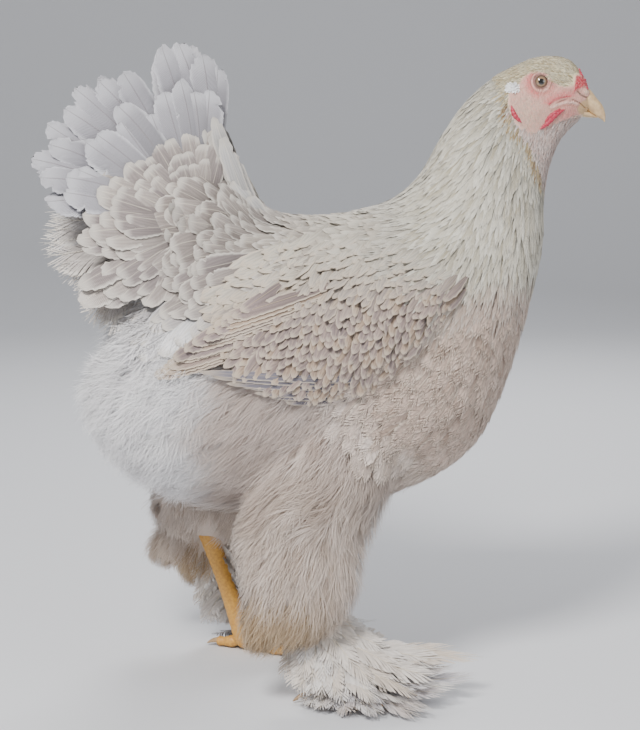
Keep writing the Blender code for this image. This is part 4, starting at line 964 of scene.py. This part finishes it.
def sprung(root, way, up, length, bend, stations=8):
    # leaves its root along way and bends towards up: root + length * (t * way + bend * t^2 * up)
    way = unit(way)
    up = unit(up - (up * way).sum(-1, keepdims=True) * way)
    t = steps(stations)[None, :, None]
    lines = root[:, None] + length[:, None, None] * (t * way[:, None] + bend[:, None, None] * t ** 2 * up[:, None])
    return lines, np.repeat(up[:, None], stations, 1)


def toeWay(side, toe):
    turn = np.radians(toes[toe][0]) * side
    return np.array([np.cos(turn), np.sin(turn), 0])


def toeForm(side, toe):
    _, length, rootRadius, tipRadius, joints = toes[toe]
    t = steps(60)
    height = (0.0055 + 0.006 * (1 - t) ** 3)[:, None]
    path = footMiddle(side) + toeWay(side, toe) * length * t[:, None] + height * upwards
    knuckle = 1 + 0.10 * np.cos(tau * t * (joints + 1))
    scute = 1 + 0.035 * np.abs(np.sin(t * length / 0.0024 * pi / 2))
    radii = (rootRadius + (tipRadius - rootRadius) * t) * knuckle * scute * np.where(t > 0.96, 0.8, 1)
    points, faces = tubeAlong(path, radii, 20, upwards)
    points[:, 2] = np.maximum(points[:, 2], 0.0002)
    return points, faces


def shankForm(side):
    t = np.linspace(-0.15, 1, 110)
    path = hock(side) + (footMiddle(side, 0.012) - hock(side)) * t[:, None]
    scute = 1 + 0.03 * np.abs(np.sin(t * 0.105 / 0.0042 * pi / 2))
    return tubeAlong(path, 0.0085 * (1.15 - 0.25 * np.sin(pi * np.clip(t, 0, 1))) * scute, 28)


def clawForm(side, toe):
    t, way = steps(20)[:, None], toeWay(side, toe)
    start = footMiddle(side) + way * (toes[toe][1] - 0.002) + upwards * 0.0058
    path = start + way * 0.0128 * t + upwards * (0.0014 * t - 0.0052 * t ** 2)
    return tubeAlong(path, toes[toe][3] * 0.72 * (1 - t[:, 0]) ** 0.7 + 0.0003, 14, upwards)


def growLegs(side, word):
    rng = np.random.default_rng(120 + (side > 0))
    name = word.lower()
    knuckle = ellipsoid(footMiddle(side) + (0.002, 0, 0.0125), (0.0125, 0.0105, 0.0115))
    forms = joined([shankForm(side), knuckle] + [toeForm(side, toe) for toe in toes])
    finishPiece(newPiece("scaledLeg" + word, *forms, scaleFinish), "scaled skin", "shank_" + name, "foot_" + name)
    claws = newPiece("claws" + word, *joined([clawForm(side, toe) for toe in toes]), clawFinish)
    finishPiece(claws, "horn", *[f"claw_{toe}_{name}" for toe in toes])
    top, foot = hock(side), footMiddle(side, 0.026)
    white, warm, grey, brown = (linear(c) for c in ("#ddd9d6", "#cfc2b4", "#bdbac0", "#a07c50"))
    shapes = several(5, barbShape, 26, 3, 0.4, 0.55, 2.0, 0.22, 0.9, 0.25)
    parts = []
    for height, forwards, beside, slope, drop, bend, number, first, final in bootTiers:
        turn = np.linspace(first, final, number) + rng.uniform(-6, 6, number)
        axis = top + (foot - top) * (top[2] - height) / (top[2] - 0.026)
        axis[2] = height
        a = np.radians(turn) * side
        way = stack(np.cos(a), np.sin(a), np.interp(np.abs(turn), (10, 80), (slope, drop)))
        length = np.interp(np.abs(turn), (0, 70), (forwards, beside)) * rng.uniform(0.85, 1.08, number)
        lines, ups = sprung(axis + 0.006 * way * (1, 1, 0), way, np.array([0, 0.7 * side, 1.0]), length,
                            bend * rng.uniform(0.6, 1.6, number))
        parts.append(growMixed(rng, lines, ups, 10.5, shapes, warm, white, int(height * 1000), 0.35, (0.8, 1.15)))
    for first, final, number, share, rootHeight in bootLayers:
        turn = np.linspace(first, final, number) + rng.uniform(-4, 4, number)
        a = np.radians(turn) * side
        reach = share * np.interp(turn, (-7, 0, 20, 42, 62, 97, 150), (0.104, 0.122, 0.102, 0.089, 0.066, 0.046, 0.041))
        reach = reach * rng.uniform(0.9, 1.03, number)
        fall = np.interp(turn, (10, 40), (0.010, -0.0095)) + (0.003 if share < 1 else 0)
        way = stack(np.cos(a), np.sin(a), 0)
        root = footMiddle(side) + 0.004 * way + (0.004, 0, rootHeight)
        lines, ups = sprung(root, way, upwards, reach - 0.004, fall / reach)
        base = mixed(grey, white, rng.uniform(0, 1, (number, 1)))
        stain = (0.55 * rng.uniform(0, 1, number) ** 2)[:, None]
        halves = 10.0 * mm * rng.uniform(0.8, 1.15, number)
        parts.append(grow(lines, ups, halves, shapes, base, int(share * 100),
                          0.25 * rng.normal(0, 1, number) + 0.3 * side * np.sin(a), mixed(base, brown, stain)))
    boot = together(parts)
    boot["points"][:, 2] = np.maximum(boot["points"][:, 2], 0.0006)
    coatPiece("bootFeathers" + word, "fluff", "boot", boot)


# Head: places in the side view, in centimetres

face = {
    "eye": (18.36, 51.69), "eyeBall": 7.2, "eyeDepth": 12.8, "iris": 5.0, "pupil": 2.4,  # sizes in millimetres
    "bare": [(22.3, 51.9), (21.7, 52.35), (21.3, 52.2), (21.15, 51.4), (20.6, 51.3), (19.9, 51.35), (19.35, 51.75),
             (18.95, 52.35), (18.3, 52.55), (17.5, 52.45), (16.9, 52.0), (16.4, 51.4), (15.8, 50.9), (15.6, 50.2),
             (15.7, 49.5), (16.15, 48.4), (16.9, 47.5), (17.6, 47.05), (18.3, 47.4), (19.3, 47.9), (20.3, 48.5),
             (21.3, 48.9), (22.4, 49.0), (23.0, 50.5)],
    "mouth": [(19.07, 49.67), (19.6, 49.95), (20.2, 50.18), (20.97, 50.26), (21.69, 49.96), (22.3, 49.50)],
    "lip": [(19.15, 49.55), (19.7, 49.78), (20.3, 49.97), (21.0, 50.02), (21.5, 49.85)],
    "streak": [(19.05, 49.85), (19.5, 50.2), (20.1, 50.42), (20.8, 50.48)],
    "brow": [(21.2, 51.25), (20.1, 51.45), (19.2, 51.95), (18.5, 52.5), (17.6, 52.55)],
    "horn": [(22.85, 50.65), (22.6, 50.4), (22.2, 50.2), (21.85, 50.02), (21.65, 49.75), (21.5, 49.45), (21.7, 49.1),
             (22.2, 48.85), (23.0, 48.5), (23.5, 49.5)],
    "comb": [(21.3, 52.3), (22.2, 52.2), (22.45, 51.5), (22.1, 51.25), (21.5, 51.0), (21.05, 50.75), (21.1, 51.3)],
    "nostril": [(21.5, 50.9), (21.8, 50.62), (22.15, 50.45), (22.5, 50.38)],
    "ear": (16.15, 51.2), "flap": (22.3, 50.85),
}
eyeCentre = np.array([face["eye"][0] * cm, face["eyeDepth"] * mm, face["eye"][1] * cm])


def onHead(spots, side, lift=0.0):  # places of the head's side, given in centimetres
    x, z = spots.T * cm
    return stack(x, side * (atSide("width", x, z) + lift), z)


def fromSpot(p, x, z):  # distance in the side view from a place
    return np.linalg.norm(p[:, [0, 2]] - np.array([x, z]) * cm, axis=1)


def fromEye(p):
    return fromSpot(p, *face["eye"])


def fromEdges(p, a, b):  # the way and the share along each straight edge from a to b, in the side view
    q = p[:, None, [0, 2]]
    t = np.clip(((q - a) * (b - a)).sum(-1) / ((b - a) ** 2).sum(-1), 0, 1)
    return q - a - t[..., None] * (b - a), t


def inside(p, corners):  # how far inside a closed outline each place of the side view is, negative outside
    a = np.array(corners) * cm
    b = np.roll(a, -1, 0)
    distance = np.linalg.norm(fromEdges(p, a, b)[0], axis=-1).min(1)
    x, z = p[:, 0, None], p[:, 2, None]
    where = a[:, 0] + (z - a[:, 1]) * (b[:, 0] - a[:, 0]) / np.where(a[:, 1] == b[:, 1], 1, b[:, 1] - a[:, 1])
    odd = (((a[:, 1] > z) != (b[:, 1] > z)) & (x < where)).sum(1) % 2 == 1
    return np.where(odd, distance, -distance)


def fromLine(p, line):  # distance from an open line, the share of the way along it, and the side of it
    points = np.array(line) * cm
    away, t = fromEdges(p, points[:-1], points[1:])
    distance = np.linalg.norm(away, axis=-1)
    best, pick = distance.argmin(1), np.arange(len(p))
    return distance[pick, best], (best + t[pick, best]) / (len(line) - 1), np.sign(away[pick, best, 1])


def faceRelief(p):
    # sums of bell curves: a pit where the eyeball shows, lid folds round it, brow, cheek, jaw folds and nostril
    r = fromEye(p) / mm
    pit = -3.2 * (1 - ramp(r, 4.9, 6.1)) + 0.45 * bump(r - 7.2, 1.0) - 0.35 * bump(r - 8.9, 0.35)
    folds = np.where(p[:, 2] < eyeCentre[2] + 0.001, 0.30, 0.12) * np.cos((r - 6.5) * tau / 1.7)
    folds = folds * ramp(r, 6.8, 7.4) * (1 - ramp(r, 9.0, 12.5))
    brow, _, over = fromLine(p, face["brow"])
    ridge = 1.1 * bump(brow / mm - 0.8, 2.2) - 0.5 * bump(brow / mm, 1.2) * (over < 0)
    cheek = 0.9 * bump(fromSpot(p, 17.8, 49.2) / mm, 9)
    mouth, lip, streak, nostril = (fromLine(p, face[k])[0] / mm for k in ("mouth", "lip", "streak", "nostril"))
    gape = -0.9 * bump(mouth, 0.35) + 0.30 * bump(mouth - 1.0, 0.6) + 0.5 * bump(lip, 0.7) - 0.4 * bump(streak, 0.4)
    x, z = ((p[:, [0, 2]] - np.array(face["flap"]) * cm) / mm).T
    flap = 1.3 * np.exp(-((0.85 * x - 0.5 * z) / 3.0) ** 2 - ((0.5 * x + 0.85 * z) / 1.7) ** 2)
    x, z = p[:, 0], p[:, 2]
    wrinkle = 0.26 * np.sin(x * 2600 + 2.5 * np.sin(z * 1500)) * np.sin(z * 2300 + 2 * np.sin(x * 1300))
    bare = ramp(inside(p, face["bare"]), -0.001, 0.001)
    horn = ramp(inside(p, face["horn"]), -0.0004, 0.0004)
    combed = ramp(inside(p, face["comb"]), -0.001, 0.001) * 0.5 * np.abs(np.sin(x * 1300) * np.sin(z * 1250))
    total = pit + folds + ridge + cheek + gape + flap - 1.1 * bump(nostril, 0.45) - 0.3 * horn
    total = total + wrinkle * bare * ramp(r, 6, 8) * (1 - horn)
    return mm * (combed + ramp(np.abs(p[:, 1]), 0.002, 0.007) * total)


def makeHead():
    t = np.concatenate([np.linspace(0, 7.5, 200), np.linspace(7.6, 12, 34)])
    points, faces = closedTube(sectionRings(through(sections, t), 180))
    thing = newPiece("head form", points, faces)
    feathered = 1 - ramp(inside(points, face["bare"]), -0.001, 0.0005)
    sunk = 0.0008 * feathered * ramp(points[:, 0], 0.225, 0.218)
    behind = -ahead(points)
    sunk = np.where(behind > 0, np.maximum(sunk, 0.9 * coatDepth(points) + 0.0008 * ramp(behind, 0.0, 0.01)), sunk)
    points = points + read(thing.data.vertex_normals, "vector") * (faceRelief(points) - sunk)[:, None]
    thing.data.vertices.foreach_set("co", points.ravel())
    thing.data.update()
    form = {"all": faces, **asForm(points, read(thing.data.vertex_normals, "vector"), faces[0])}
    bpy.data.objects.remove(thing)
    return form


headForm = makeHead()


def lidForm(side):
    # two rims round the opening, their radius along the ring growing at the back and bottom, thin at the front
    a, b = turns(96)[:, None], turns(12)[None, :, None]
    outwards = unit(np.array([0.06, side, 0.04]))
    forwards = unit(np.cross(upwards, outwards))
    forwards = forwards * np.sign(forwards[0])
    raised = np.cross(forwards, outwards)
    raised = raised * np.sign(raised[2])
    index = np.arange(96 * 12).reshape(96, 12)
    after = np.roll(index, -1, 0)
    faces = np.stack([index, after, np.roll(after, -1, 1), np.roll(index, -1, 1)], -1).reshape(-1, 4)
    made = []
    for radius, lift, squash in ((5.6, 5.0, 0.97), (7.7, 4.1, 0.95)):
        spoke = np.cos(a) * forwards + squash * np.sin(a) * raised
        middle = eyeCentre * (1, side, 1) + (spoke * radius + outwards * lift) * mm
        thickness = 0.60 * (1 + 0.25 * np.cos(a[..., None] + 2.2)) * mm
        ring = middle[:, None] + thickness * (np.cos(b) * unit(spoke)[:, None] + np.sin(b) * outwards)
        made.append(outward(ring.reshape(-1, 3), [faces]))
    return joined(made)


def blotch(p, scale):  # soft irregular patches between 0 and 1
    x, z = p[:, 0] * scale, p[:, 2] * scale
    return 0.5 + 0.25 * (np.sin(x + 2.1 * np.sin(0.7 * z)) + np.sin(z + 1.7 * np.sin(0.9 * x + 1.3)))


def faceTint(p):
    # pink bare skin, beige over the cheek, flushed round the eye and over the mouth, red streaks, horn at the bill,
    # painted shade in the grooves and creases round the eye and the brow's painted shadow before it;
    # each row is laid over those before it by its share
    r, around, flap = fromEye(p), fromSpot(p, 17.1, 48.9), fromSpot(p, *face["flap"])
    behind = p[:, 0] < eyeCentre[0] - 0.002
    low = behind | (p[:, 2] < eyeCentre[2] - 0.003)
    over, _, above = fromLine(p, face["streak"])
    under = fromLine(p, [(x - 0.05, z - 0.24) for x, z in face["lip"]])[0]
    mouth, share, _ = fromLine(p, face["mouth"])
    combed = ramp(inside(p, face["comb"]), -0.0008, 0.0022) * (0.5 + 1.3 * blotch(p, 2100) * blotch(p + 0.013, 3900))
    tone = np.tile(linear("#d09f92"), (len(p), 1))
    for share, colour in (
        (0.85 * bump(around, 0.017) + 0.3 * blotch(p, 1100) - 0.1, "#c3aa95"),
        (0.9 * blotch(p, 2900) * blotch(p + 0.02, 1900) * bump(around, 0.02), "#9c908c"),
        (0.7 * blotch(p + 0.01, 2300) * blotch(p + 0.03, 1500) * bump(around, 0.025), "#d98f86"),
        (bump(r - 0.0105, 0.0035) * (0.45 + 0.5 * behind) * (0.6 + 0.5 * blotch(p, 1400)), "#cb6f6c"),
        (0.8 * bump(over - 0.002, 0.0035) * (above > 0) * (0.5 + 0.6 * blotch(p, 1700)), "#cb6a6c"),
        (0.5 * bump(fromSpot(p, 20.6, 49.05), 0.008), "#cc7474"),
        (0.95 * bump(over, 0.0009), "#a8223a"),
        (0.75 * bump(fromLine(p, face["lip"])[0], 0.00055), "#ecd3c6"),
        (0.6 * bump(under, 0.0006), "#8f5a48"),
        (0.8 * bump(mouth, 0.0004), "#6d4036"),
        (ramp(inside(p, face["horn"]), -0.0008, 0.0008), "#bfa07a"),
        (0.95 * bump(fromLine(p, face["nostril"])[0], 0.0006), "#4d3226"),
        (0.7 * bump(flap, 0.0022), "#e3ccb6"),
        (0.7 * bump(mouth, 0.0003) * ramp(share, 0.6, 0.75), "#7a5430"),
        (combed, "#b41c3a"),
        # painted shade: dark rings in the groove at the edge of the eye opening and between the two lid rims
        (bump(r - 0.0051, 0.0006) + 0.6 * bump(r - 0.0066, 0.0004), "#33211a"),
        (0.35 * bump(r - 0.0076, 0.0005) * low, "#e6c8bb"),
        # painted shade: a dark line in the crease of the outer lid fold, behind and below the eye
        (0.8 * bump(r - 0.0087, 0.0005) * low, "#7a3d33"),
        (0.5 * bump(r - 0.0106, 0.0006) * low, "#a85a52"),
        # painted shadow of the brow: a dark spot before the eye
        (0.6 * bump(fromSpot(p, 19.25, 51.50), 0.0016), "#5a3e34"),
    ):
        tone = mixed(tone, linear(colour), np.clip(share, 0, 1)[:, None])
    soft = 0.0012 + 0.005 * (1 - ramp(p[:, 2], 0.476, 0.490))
    bare = ramp((inside(p, face["bare"]) + 0.0008 * (blotch(p, 2300) - 0.5)) / soft, -1.2, 1.0)[:, None]
    hidden = mixed(linear("#d0c4a2"), linear("#e0c2b6"), ramp(p[:, 2], 0.495, 0.485)[:, None])  # crown to throat
    return mixed(hidden, tone, bare)


def makeSkin():
    lids, head = [lidForm(right), lidForm(left)], headForm["points"]
    points, faces = joined([(skinPoints, [envelope["faces"]]), (head, headForm["all"])] + lids)
    skin = newPiece("skin", points, faces, skinFinish)
    lidPoints = np.vstack([p for p, f in lids])
    # lid skin, darkened on the rim's side towards the eyeball as painted shade in that recess
    lidTint = linear("#b98f84") * (0.45 + 0.55 * ramp(fromEye(lidPoints), 0.0056, 0.0066)[:, None])
    # the coat's colour, a twentieth darker as painted shade in the gaps between the feathers
    neckTint = 0.95 * coatTint(head, np.random.default_rng(6), 0.0)
    headTint = mixed(faceTint(head), neckTint, ramp(-ahead(head), -0.001, 0.006)[:, None])
    setColour(skin, "tint", np.vstack([skinTint, headTint, lidTint]))
    bare = ramp(inside(head, face["bare"]), -0.001, 0.001)
    bare = np.concatenate([np.zeros(len(skinTint)), bare, np.full(len(lidTint), 0.5)])
    setColour(skin, "bare", np.repeat(bare[:, None], 3, 1))
    spot = unwrapped(points)
    setMap(skin, "OFBake", 0.01 + 0.98 * (spot - spot.min(0)) / (spot.max(0) - spot.min(0)))
    finishPiece(skin, "face skin", "head", "neck", "torso", "abdomen", "thigh_left", "thigh_right")
    print("skin", 2 * sum(len(f) for f in faces), "triangles")


def makeEye(side, word):
    # a ball whose front bulges a little as the cornea; the colour runs outwards from the pupil by the polar angle
    gaze, centre = unit(np.array([0.02, side, 0.02])), eyeCentre * (1, side, 1)
    first = unit(np.cross(gaze, upwards))
    second = np.cross(gaze, first)
    polar, angle = np.linspace(0.004, pi - 0.004, 140)[:, None, None], turns(96)[None, :, None]
    ring = np.cos(angle) * first + np.sin(angle) * second
    radius = face["eyeBall"] * mm + 0.35 * mm * bump(polar, 0.65)
    points, faces = closedTube(centre + radius * (np.cos(polar) * gaze + np.sin(polar) * ring))
    eye = newPiece("eye" + word, points, faces, eyeFinish)
    away = points - centre
    r = face["eyeBall"] * np.linalg.norm(np.cross(unit(away), gaze), axis=1)
    around = np.arctan2(away @ second, away @ first)
    streak = 0.10 * np.sin(around * 37 + 2 * np.sin(around * 9)) + 0.06 * np.sin(around * 71)
    tone = mixed(linear("#94795c"), linear("#5f4a3a"), ramp(r, 2.6, 4.9)[:, None]) * (1 + streak)[:, None]
    tone = tone * (0.35 + 0.65 * ramp(r, face["pupil"] - 0.05, face["pupil"] + 0.55))[:, None]
    tone = tone * ramp(r, face["pupil"] - 0.25, face["pupil"] + 0.1)[:, None] + 0.003
    tone = tone * (1 - 0.9 * ramp(r, face["iris"] - 0.35, face["iris"] + 0.2))[:, None]
    tone[away @ gaze < 0] = 0.02
    setColour(eye, "tint", tone)
    finishPiece(eye, "eye", "eye_" + word.lower())


def makeBeak():
    upper = [(21.90, 51.45, 21.45, 50.00, 0.78), (22.66, 51.12, 22.10, 49.56, 0.76), (23.28, 50.38, 22.80, 49.10, 0.60),
             (23.80, 49.74, 23.38, 48.76, 0.40), (24.06, 49.02, 23.80, 48.54, 0.20), (24.07, 48.42, 24.00, 48.34, 0.05)]
    lower = [(21.40, 49.95, 21.50, 48.90, 0.66), (22.05, 49.62, 22.12, 48.78, 0.58), (22.70, 49.20, 22.72, 48.72, 0.40),
             (23.15, 48.92, 23.15, 48.70, 0.22), (23.40, 48.77, 23.38, 48.70, 0.06)]
    for name, rows, node in (("beakUpper", upper, "beak_upper"), ("beakLower", lower, "beak_lower")):
        rings = sectionRings(through(np.array(rows) * cm, np.linspace(0, len(rows) - 1, 80)), 64, 1.8)
        rings[..., 1:2] *= 1 + 0.012 * np.sin(steps(80)[:, None, None] * 60)  # growth rings
        finishPiece(newPiece(name, *closedTube(rings), beakFinish), "horn", node)


def makeComb():
    # pea comb: low beads down the forehead and along each side of the beak's root
    rng = np.random.default_rng(33)
    beads = []
    forehead = np.array([(21.50, 53.02), (21.88, 52.52), (22.20, 51.92), (22.46, 51.38)]) * cm
    for sideways, count, drop in (
        (0, 9, 0.0008), (0.0032, 8, 0.0012), (-0.0032, 8, 0.0012), (0.0056, 6, 0.0027), (-0.0056, 6, 0.0027),
    ):
        for x, z in through(forehead, np.linspace(0.7, 2.9, count)):
            size = 0.0017 * rng.uniform(0.7, 1.2, 3)
            beads.append(ellipsoid((x - drop / 2, sideways, z - drop) + 0.0004 * rng.normal(0, 1, 3), size, 18, 10))
    finishPiece(newPiece("peaComb", *joined(beads), combFinish), "comb skin", "comb")


folds = {  # of soft skin on the cheek: lines in the side view, width and thickness in millimetres, crinkles
    "wattle": [([(20.35, 49.42), (19.6, 48.95), (18.9, 48.25), (18.3, 47.8)], 2.2, 1.9, 40),
               ([(20.0, 49.5), (19.2, 48.9), (18.7, 48.4)], 1.6, 1.5, 31)],
    "earLobe": [([(15.85, 49.75), (16.1, 49.0), (16.7, 48.35)], 1.9, 1.6, 33)],
}


def foldForm(side, line, width, thickness, crinkles):  # an ellipse section along the line, with a crinkled edge
    t = steps(70)
    path = onHead(through(line, t * (len(line) - 1)), side, 0.0006)
    swell = np.sin(pi * np.clip(t, 0.02, 0.98)) ** 0.6
    return tubeAlong(path, width * mm * swell * (1 + 0.12 * np.sin(t * crinkles)), 26, (0.3, 0, 1.0), thickness / width)


def makeFolds(side, word):
    for name, rows in folds.items():
        piece = newPiece(name + word, *joined([foldForm(side, *row) for row in rows]), combFinish)
        finishPiece(piece, "comb skin", name.lower() + "_" + word.lower())


# Small feathers of the head: x, z and the way they point
headLie = np.array([
    (21.9, 51.9, 140), (21.3, 53.2, 150), (20.0, 53.7, 172), (20.3, 52.4, 160), (19.4, 52.6, 170), (18.2, 53.6, 185),
    (17.5, 52.8, 186), (16.0, 52.6, 200), (16.2, 51.6, 205), (15.0, 51.2, 215), (15.0, 49.5, 235), (15.3, 48.0, 245),
    (16.2, 47.0, 250), (17.6, 46.4, 250), (19.0, 46.8, 248), (20.3, 47.6, 240), (21.4, 48.6, 225), (19.2, 44.5, 262),
    (14.0, 50.5, 222), (12.5, 49.0, 228), (16.5, 44.5, 252), (13.0, 46.0, 238),
])
headCoat = {  # millimetres; pale and deep colours
    "crown": {"spacing": 1.15, "length": 6.0, "half": 0.75, "lift": 0.9, "pale": "#ebe0be", "deep": "#b9a375"},
    "throat": {"spacing": 1.15, "length": 7.5, "half": 0.6, "lift": 1.2, "pale": "#f5e6df", "deep": "#dfbcb0"},
    "down": {"spacing": 1.15, "length": 2.4, "half": 0.9, "lift": 0.6, "pale": "#ecdccb", "deep": "#cfb49f"},
    # the ruff is tan; its deep brown is also painted shade where the hackle's edge laps over the cheek
    "ruff": {"spacing": 1.0, "length": 12.0, "half": 0.8, "lift": 1.6, "pale": "#d2bd90", "deep": "#8c6b40"},
}


def headHeading(p):
    return pointing(nearRows(p[:, 0] / cm, p[:, 2] / cm, headLie, 0.1), headLie[:, 2])


def headZone(zone, p):  # where each kind of the head's small feathers grows
    section = atSide("section", p[:, 0], p[:, 2])
    bare = inside(p, face["bare"]) > 0.0004 * (1 - 4 * blotch(p, 2300)) + 0.005 * (1 - ramp(p[:, 2], 0.476, 0.488))
    comb = inside(p, face["comb"]) > -0.0006
    throat = (p[:, 2] < 0.497) & (section < 8.5)
    clear = (fromEye(p) > 0.0095) & (inside(p, face["horn"]) < -0.0003) & (fromLine(p, face["mouth"])[0] > 0.0008)
    before = (ahead(p) > -0.0015) & ~bare & ~comb
    return {"ruff": (np.abs(ahead(p) + 0.0025) < 0.0022) & (p[:, 2] < 0.508) & (p[:, 2] > 0.436),
            "down": bare & ~comb & clear & (section > 0.25),
            "crown": ~throat & (section > 0.6) & before, "throat": throat & (section > 0.8) & before}[zone]


def growHead():
    rng = np.random.default_rng(55)
    made, tufts = [], []
    small, hairs = several(4, vaneShape, 6, 3, 0.6, 0.4, 1.5, 0.25, 0.3), several(4, tuftShape, 2, 2, 0.5, 0.4, 0.13)
    for number, (zone, look) in enumerate(headCoat.items()):
        starts, normals = scatter(headForm, look["spacing"] * mm, lambda p: headZone(zone, p), 40 + number)
        n = len(starts)
        lengths = look["length"] * mm * rng.uniform(0.75, 1.15, n)
        turn = np.radians(8) * rng.normal(0, 1, n)
        places, ups = walk(headForm, starts, normals, lengths, turn, headHeading, 4)
        lift = (look["lift"] * mm * rng.uniform(0.5, 1.3, n))[:, None, None]
        lines = places + ups * (lift * steps(4)[None, :, None] ** 0.7 - 0.0002)
        tint = mixed(linear(look["pale"]), linear(look["deep"]), rng.uniform(0, 1, (n, 1)))
        made.append(grow(lines, ups, look["half"] * mm * rng.uniform(0.8, 1.2, n), hairs if zone == "down" else small,
                         tint, number))
    # white bristles over the ear
    n = 170
    for side in (right, left):
        root = onHead(np.array(face["ear"]) + rng.normal(0, 1, (n, 2)) * (0.19, 0.11), side)
        way = unit(stack(-0.7 + 0.5 * rng.normal(0, 1, n), side * rng.uniform(0.15, 0.7, n),
                         0.35 * rng.normal(0, 1, n)))
        lines, ups = sprung(root, way, np.array([0, side, 0]), 0.0048 * rng.uniform(0.6, 1.2, n), np.full(n, -0.2), 4)
        tufts.append(grow(lines, ups, 0.0006, small, np.ones((n, 3)), 8))
    coatPiece("headFeathers", "hackle feather", "hackle", together(made), soft=0.6)
    coatPiece("earTufts", "hackle feather", "down", together(tufts), soft=0.9)


# Finishes of skin, horn and eye

def grainFinish(name, sockets, scale, strength, distance, *colours):
    # colour between two, or where none is given from the point colour, mottled by noise; fine pebbled relief
    made, tree, shader = newMaterial(name, sockets)
    where = addNode(tree, "TexCoord").outputs["Object"]
    noise = addNode(tree, "TexNoise", {"Scale": scale, "Detail": 3.0}, {"Vector": where}).outputs["Fac"]
    if colours:
        first, second = map(opaque, colours)
        share = addNode(tree, "MapRange", {1: 0.3, 2: 0.7}, {0: noise}).outputs[0]
        colour = addNode(tree, "Mix", {"data_type": "RGBA", 6: first, 7: second}, {0: share}).outputs[2]
    else:
        base = addNode(tree, "Attribute", {"attribute_name": "tint"}).outputs["Color"]
        gain = addNode(tree, "MapRange", {1: 0.25, 2: 0.75, 3: 0.9, 4: 1.1}, {0: noise}).outputs[0]
        colour = addNode(tree, "VectorMath", {"operation": "SCALE"}, {0: base, "Scale": gain}).outputs[0]
    tree.links.new(colour, shader.inputs["Base Color"])
    pebble = addNode(tree, "TexVoronoi", {"Scale": scale * 1.3, "feature": "SMOOTH_F1"}, {"Vector": where})
    relief = addNode(tree, "Bump", {"Strength": strength, "Distance": distance}, {"Height": pebble.outputs["Distance"]})
    tree.links.new(relief.outputs["Normal"], shader.inputs["Normal"])
    return made


skinFinish = grainFinish("thin facial skin", {
    "Roughness": 0.55, "Subsurface Weight": 0.15, "Subsurface Radius": (0.004, 0.0015, 0.001), "Subsurface Scale": 0.5,
    "Specular IOR Level": 0.35}, 900, 0.25, 0.0003)
combFinish = grainFinish("red comb skin", {
    "Roughness": 0.42, "Subsurface Weight": 0.2, "Subsurface Radius": (0.004, 0.001, 0.001), "Subsurface Scale": 0.5,
}, 1400, 0.4, 0.0003, "#9c1530", "#bf4a5c")
beakFinish = grainFinish("beak horn", {
    "Roughness": 0.33, "Coat Weight": 0.15, "Coat Roughness": 0.3}, 260, 0.05, 0.0002, "#d6b98c", "#b99a74")
clawFinish = grainFinish("claw horn", {"Roughness": 0.4}, 300, 0.05, 0.0002, "#c9a77c", "#8f7458")
scaleFinish = grainFinish("scaled shank skin", {"Roughness": 0.5, "Specular IOR Level": 0.45}, 420, 0.35, 0.0004,
                          "#dca94f", "#c08a45")
eyeFinish, tree, shader = newMaterial("wet eye", {"Roughness": 0.06, "Coat Weight": 1.0, "Coat Roughness": 0.02})
tree.links.new(addNode(tree, "Attribute", {"attribute_name": "tint"}).outputs["Color"], shader.inputs["Base Color"])

makeSkin()
makeBeak()
makeComb()
for side, word in sideWords:
    makeFolds(side, word)
    makeEye(side, word)
    growLegs(side, word)
growHead()

# Floor, light and camera
floorFinish = newMaterial("pale studio floor", {"Base Color": (0.66, 0.67, 0.70, 1), "Roughness": 0.85})[0]
a = np.linspace(0, pi / 2, 24)  # flat, then a quarter turn up behind the bird
sweepY = np.concatenate([[-4.0, 1.0], 2.2 + 1.5 * np.sin(a), [3.7]])
sweepZ = np.concatenate([[0.0, 0.0], 1.5 * (1 - np.cos(a)), [5.0]])
sweep = np.stack([stack(x, sweepY, sweepZ) for x in (5.0, -5.0)], 1)
newPiece("floor", sweep.reshape(-1, 3), [gridFaces(27, 2)], floorFinish)

world = bpy.data.worlds.new("studio")
world.use_nodes = True
world.node_tree.nodes["Background"].inputs["Color"].default_value = (0.85, 0.86, 0.88, 1)
world.node_tree.nodes["Background"].inputs["Strength"].default_value = 0.5
bpy.context.scene.world = world


def softLight(name, place, height, size, watts, colour):  # a round lamp that faces the bird at a height
    lamp = bpy.data.lights.new(name, "AREA")
    lamp.shape, lamp.size, lamp.energy, lamp.color = "DISK", size, watts, colour
    thing = bpy.data.objects.new(name, lamp)
    thing.location = place
    thing.rotation_euler = (Vector((0, 0, height)) - Vector(place)).to_track_quat("-Z", "Y").to_euler()
    bpy.context.scene.collection.objects.link(thing)


softLight("key", (-0.7, -1.5, 1.8), 0.3, 0.6, 74, (1.0, 0.98, 0.95))
softLight("fill", (1.6, -1.3, 0.8), 0.3, 1.2, 10, (0.95, 0.97, 1.0))
softLight("rim", (0.3, 1.6, 1.5), 0.35, 1.0, 26, (1.0, 1.0, 1.0))

lens = bpy.data.cameras.new("camera")
lens.sensor_fit, lens.sensor_height, lens.lens = "VERTICAL", 36, 86.84
camera = bpy.data.objects.new("camera", lens)
camera.location = toMiddle + Vector((0, -1.5, 0.509))
camera.rotation_euler = Vector((0, 1.5, -0.233)).to_track_quat("-Z", "Y").to_euler()
bpy.context.scene.collection.objects.link(camera)
bpy.context.scene.camera = camera
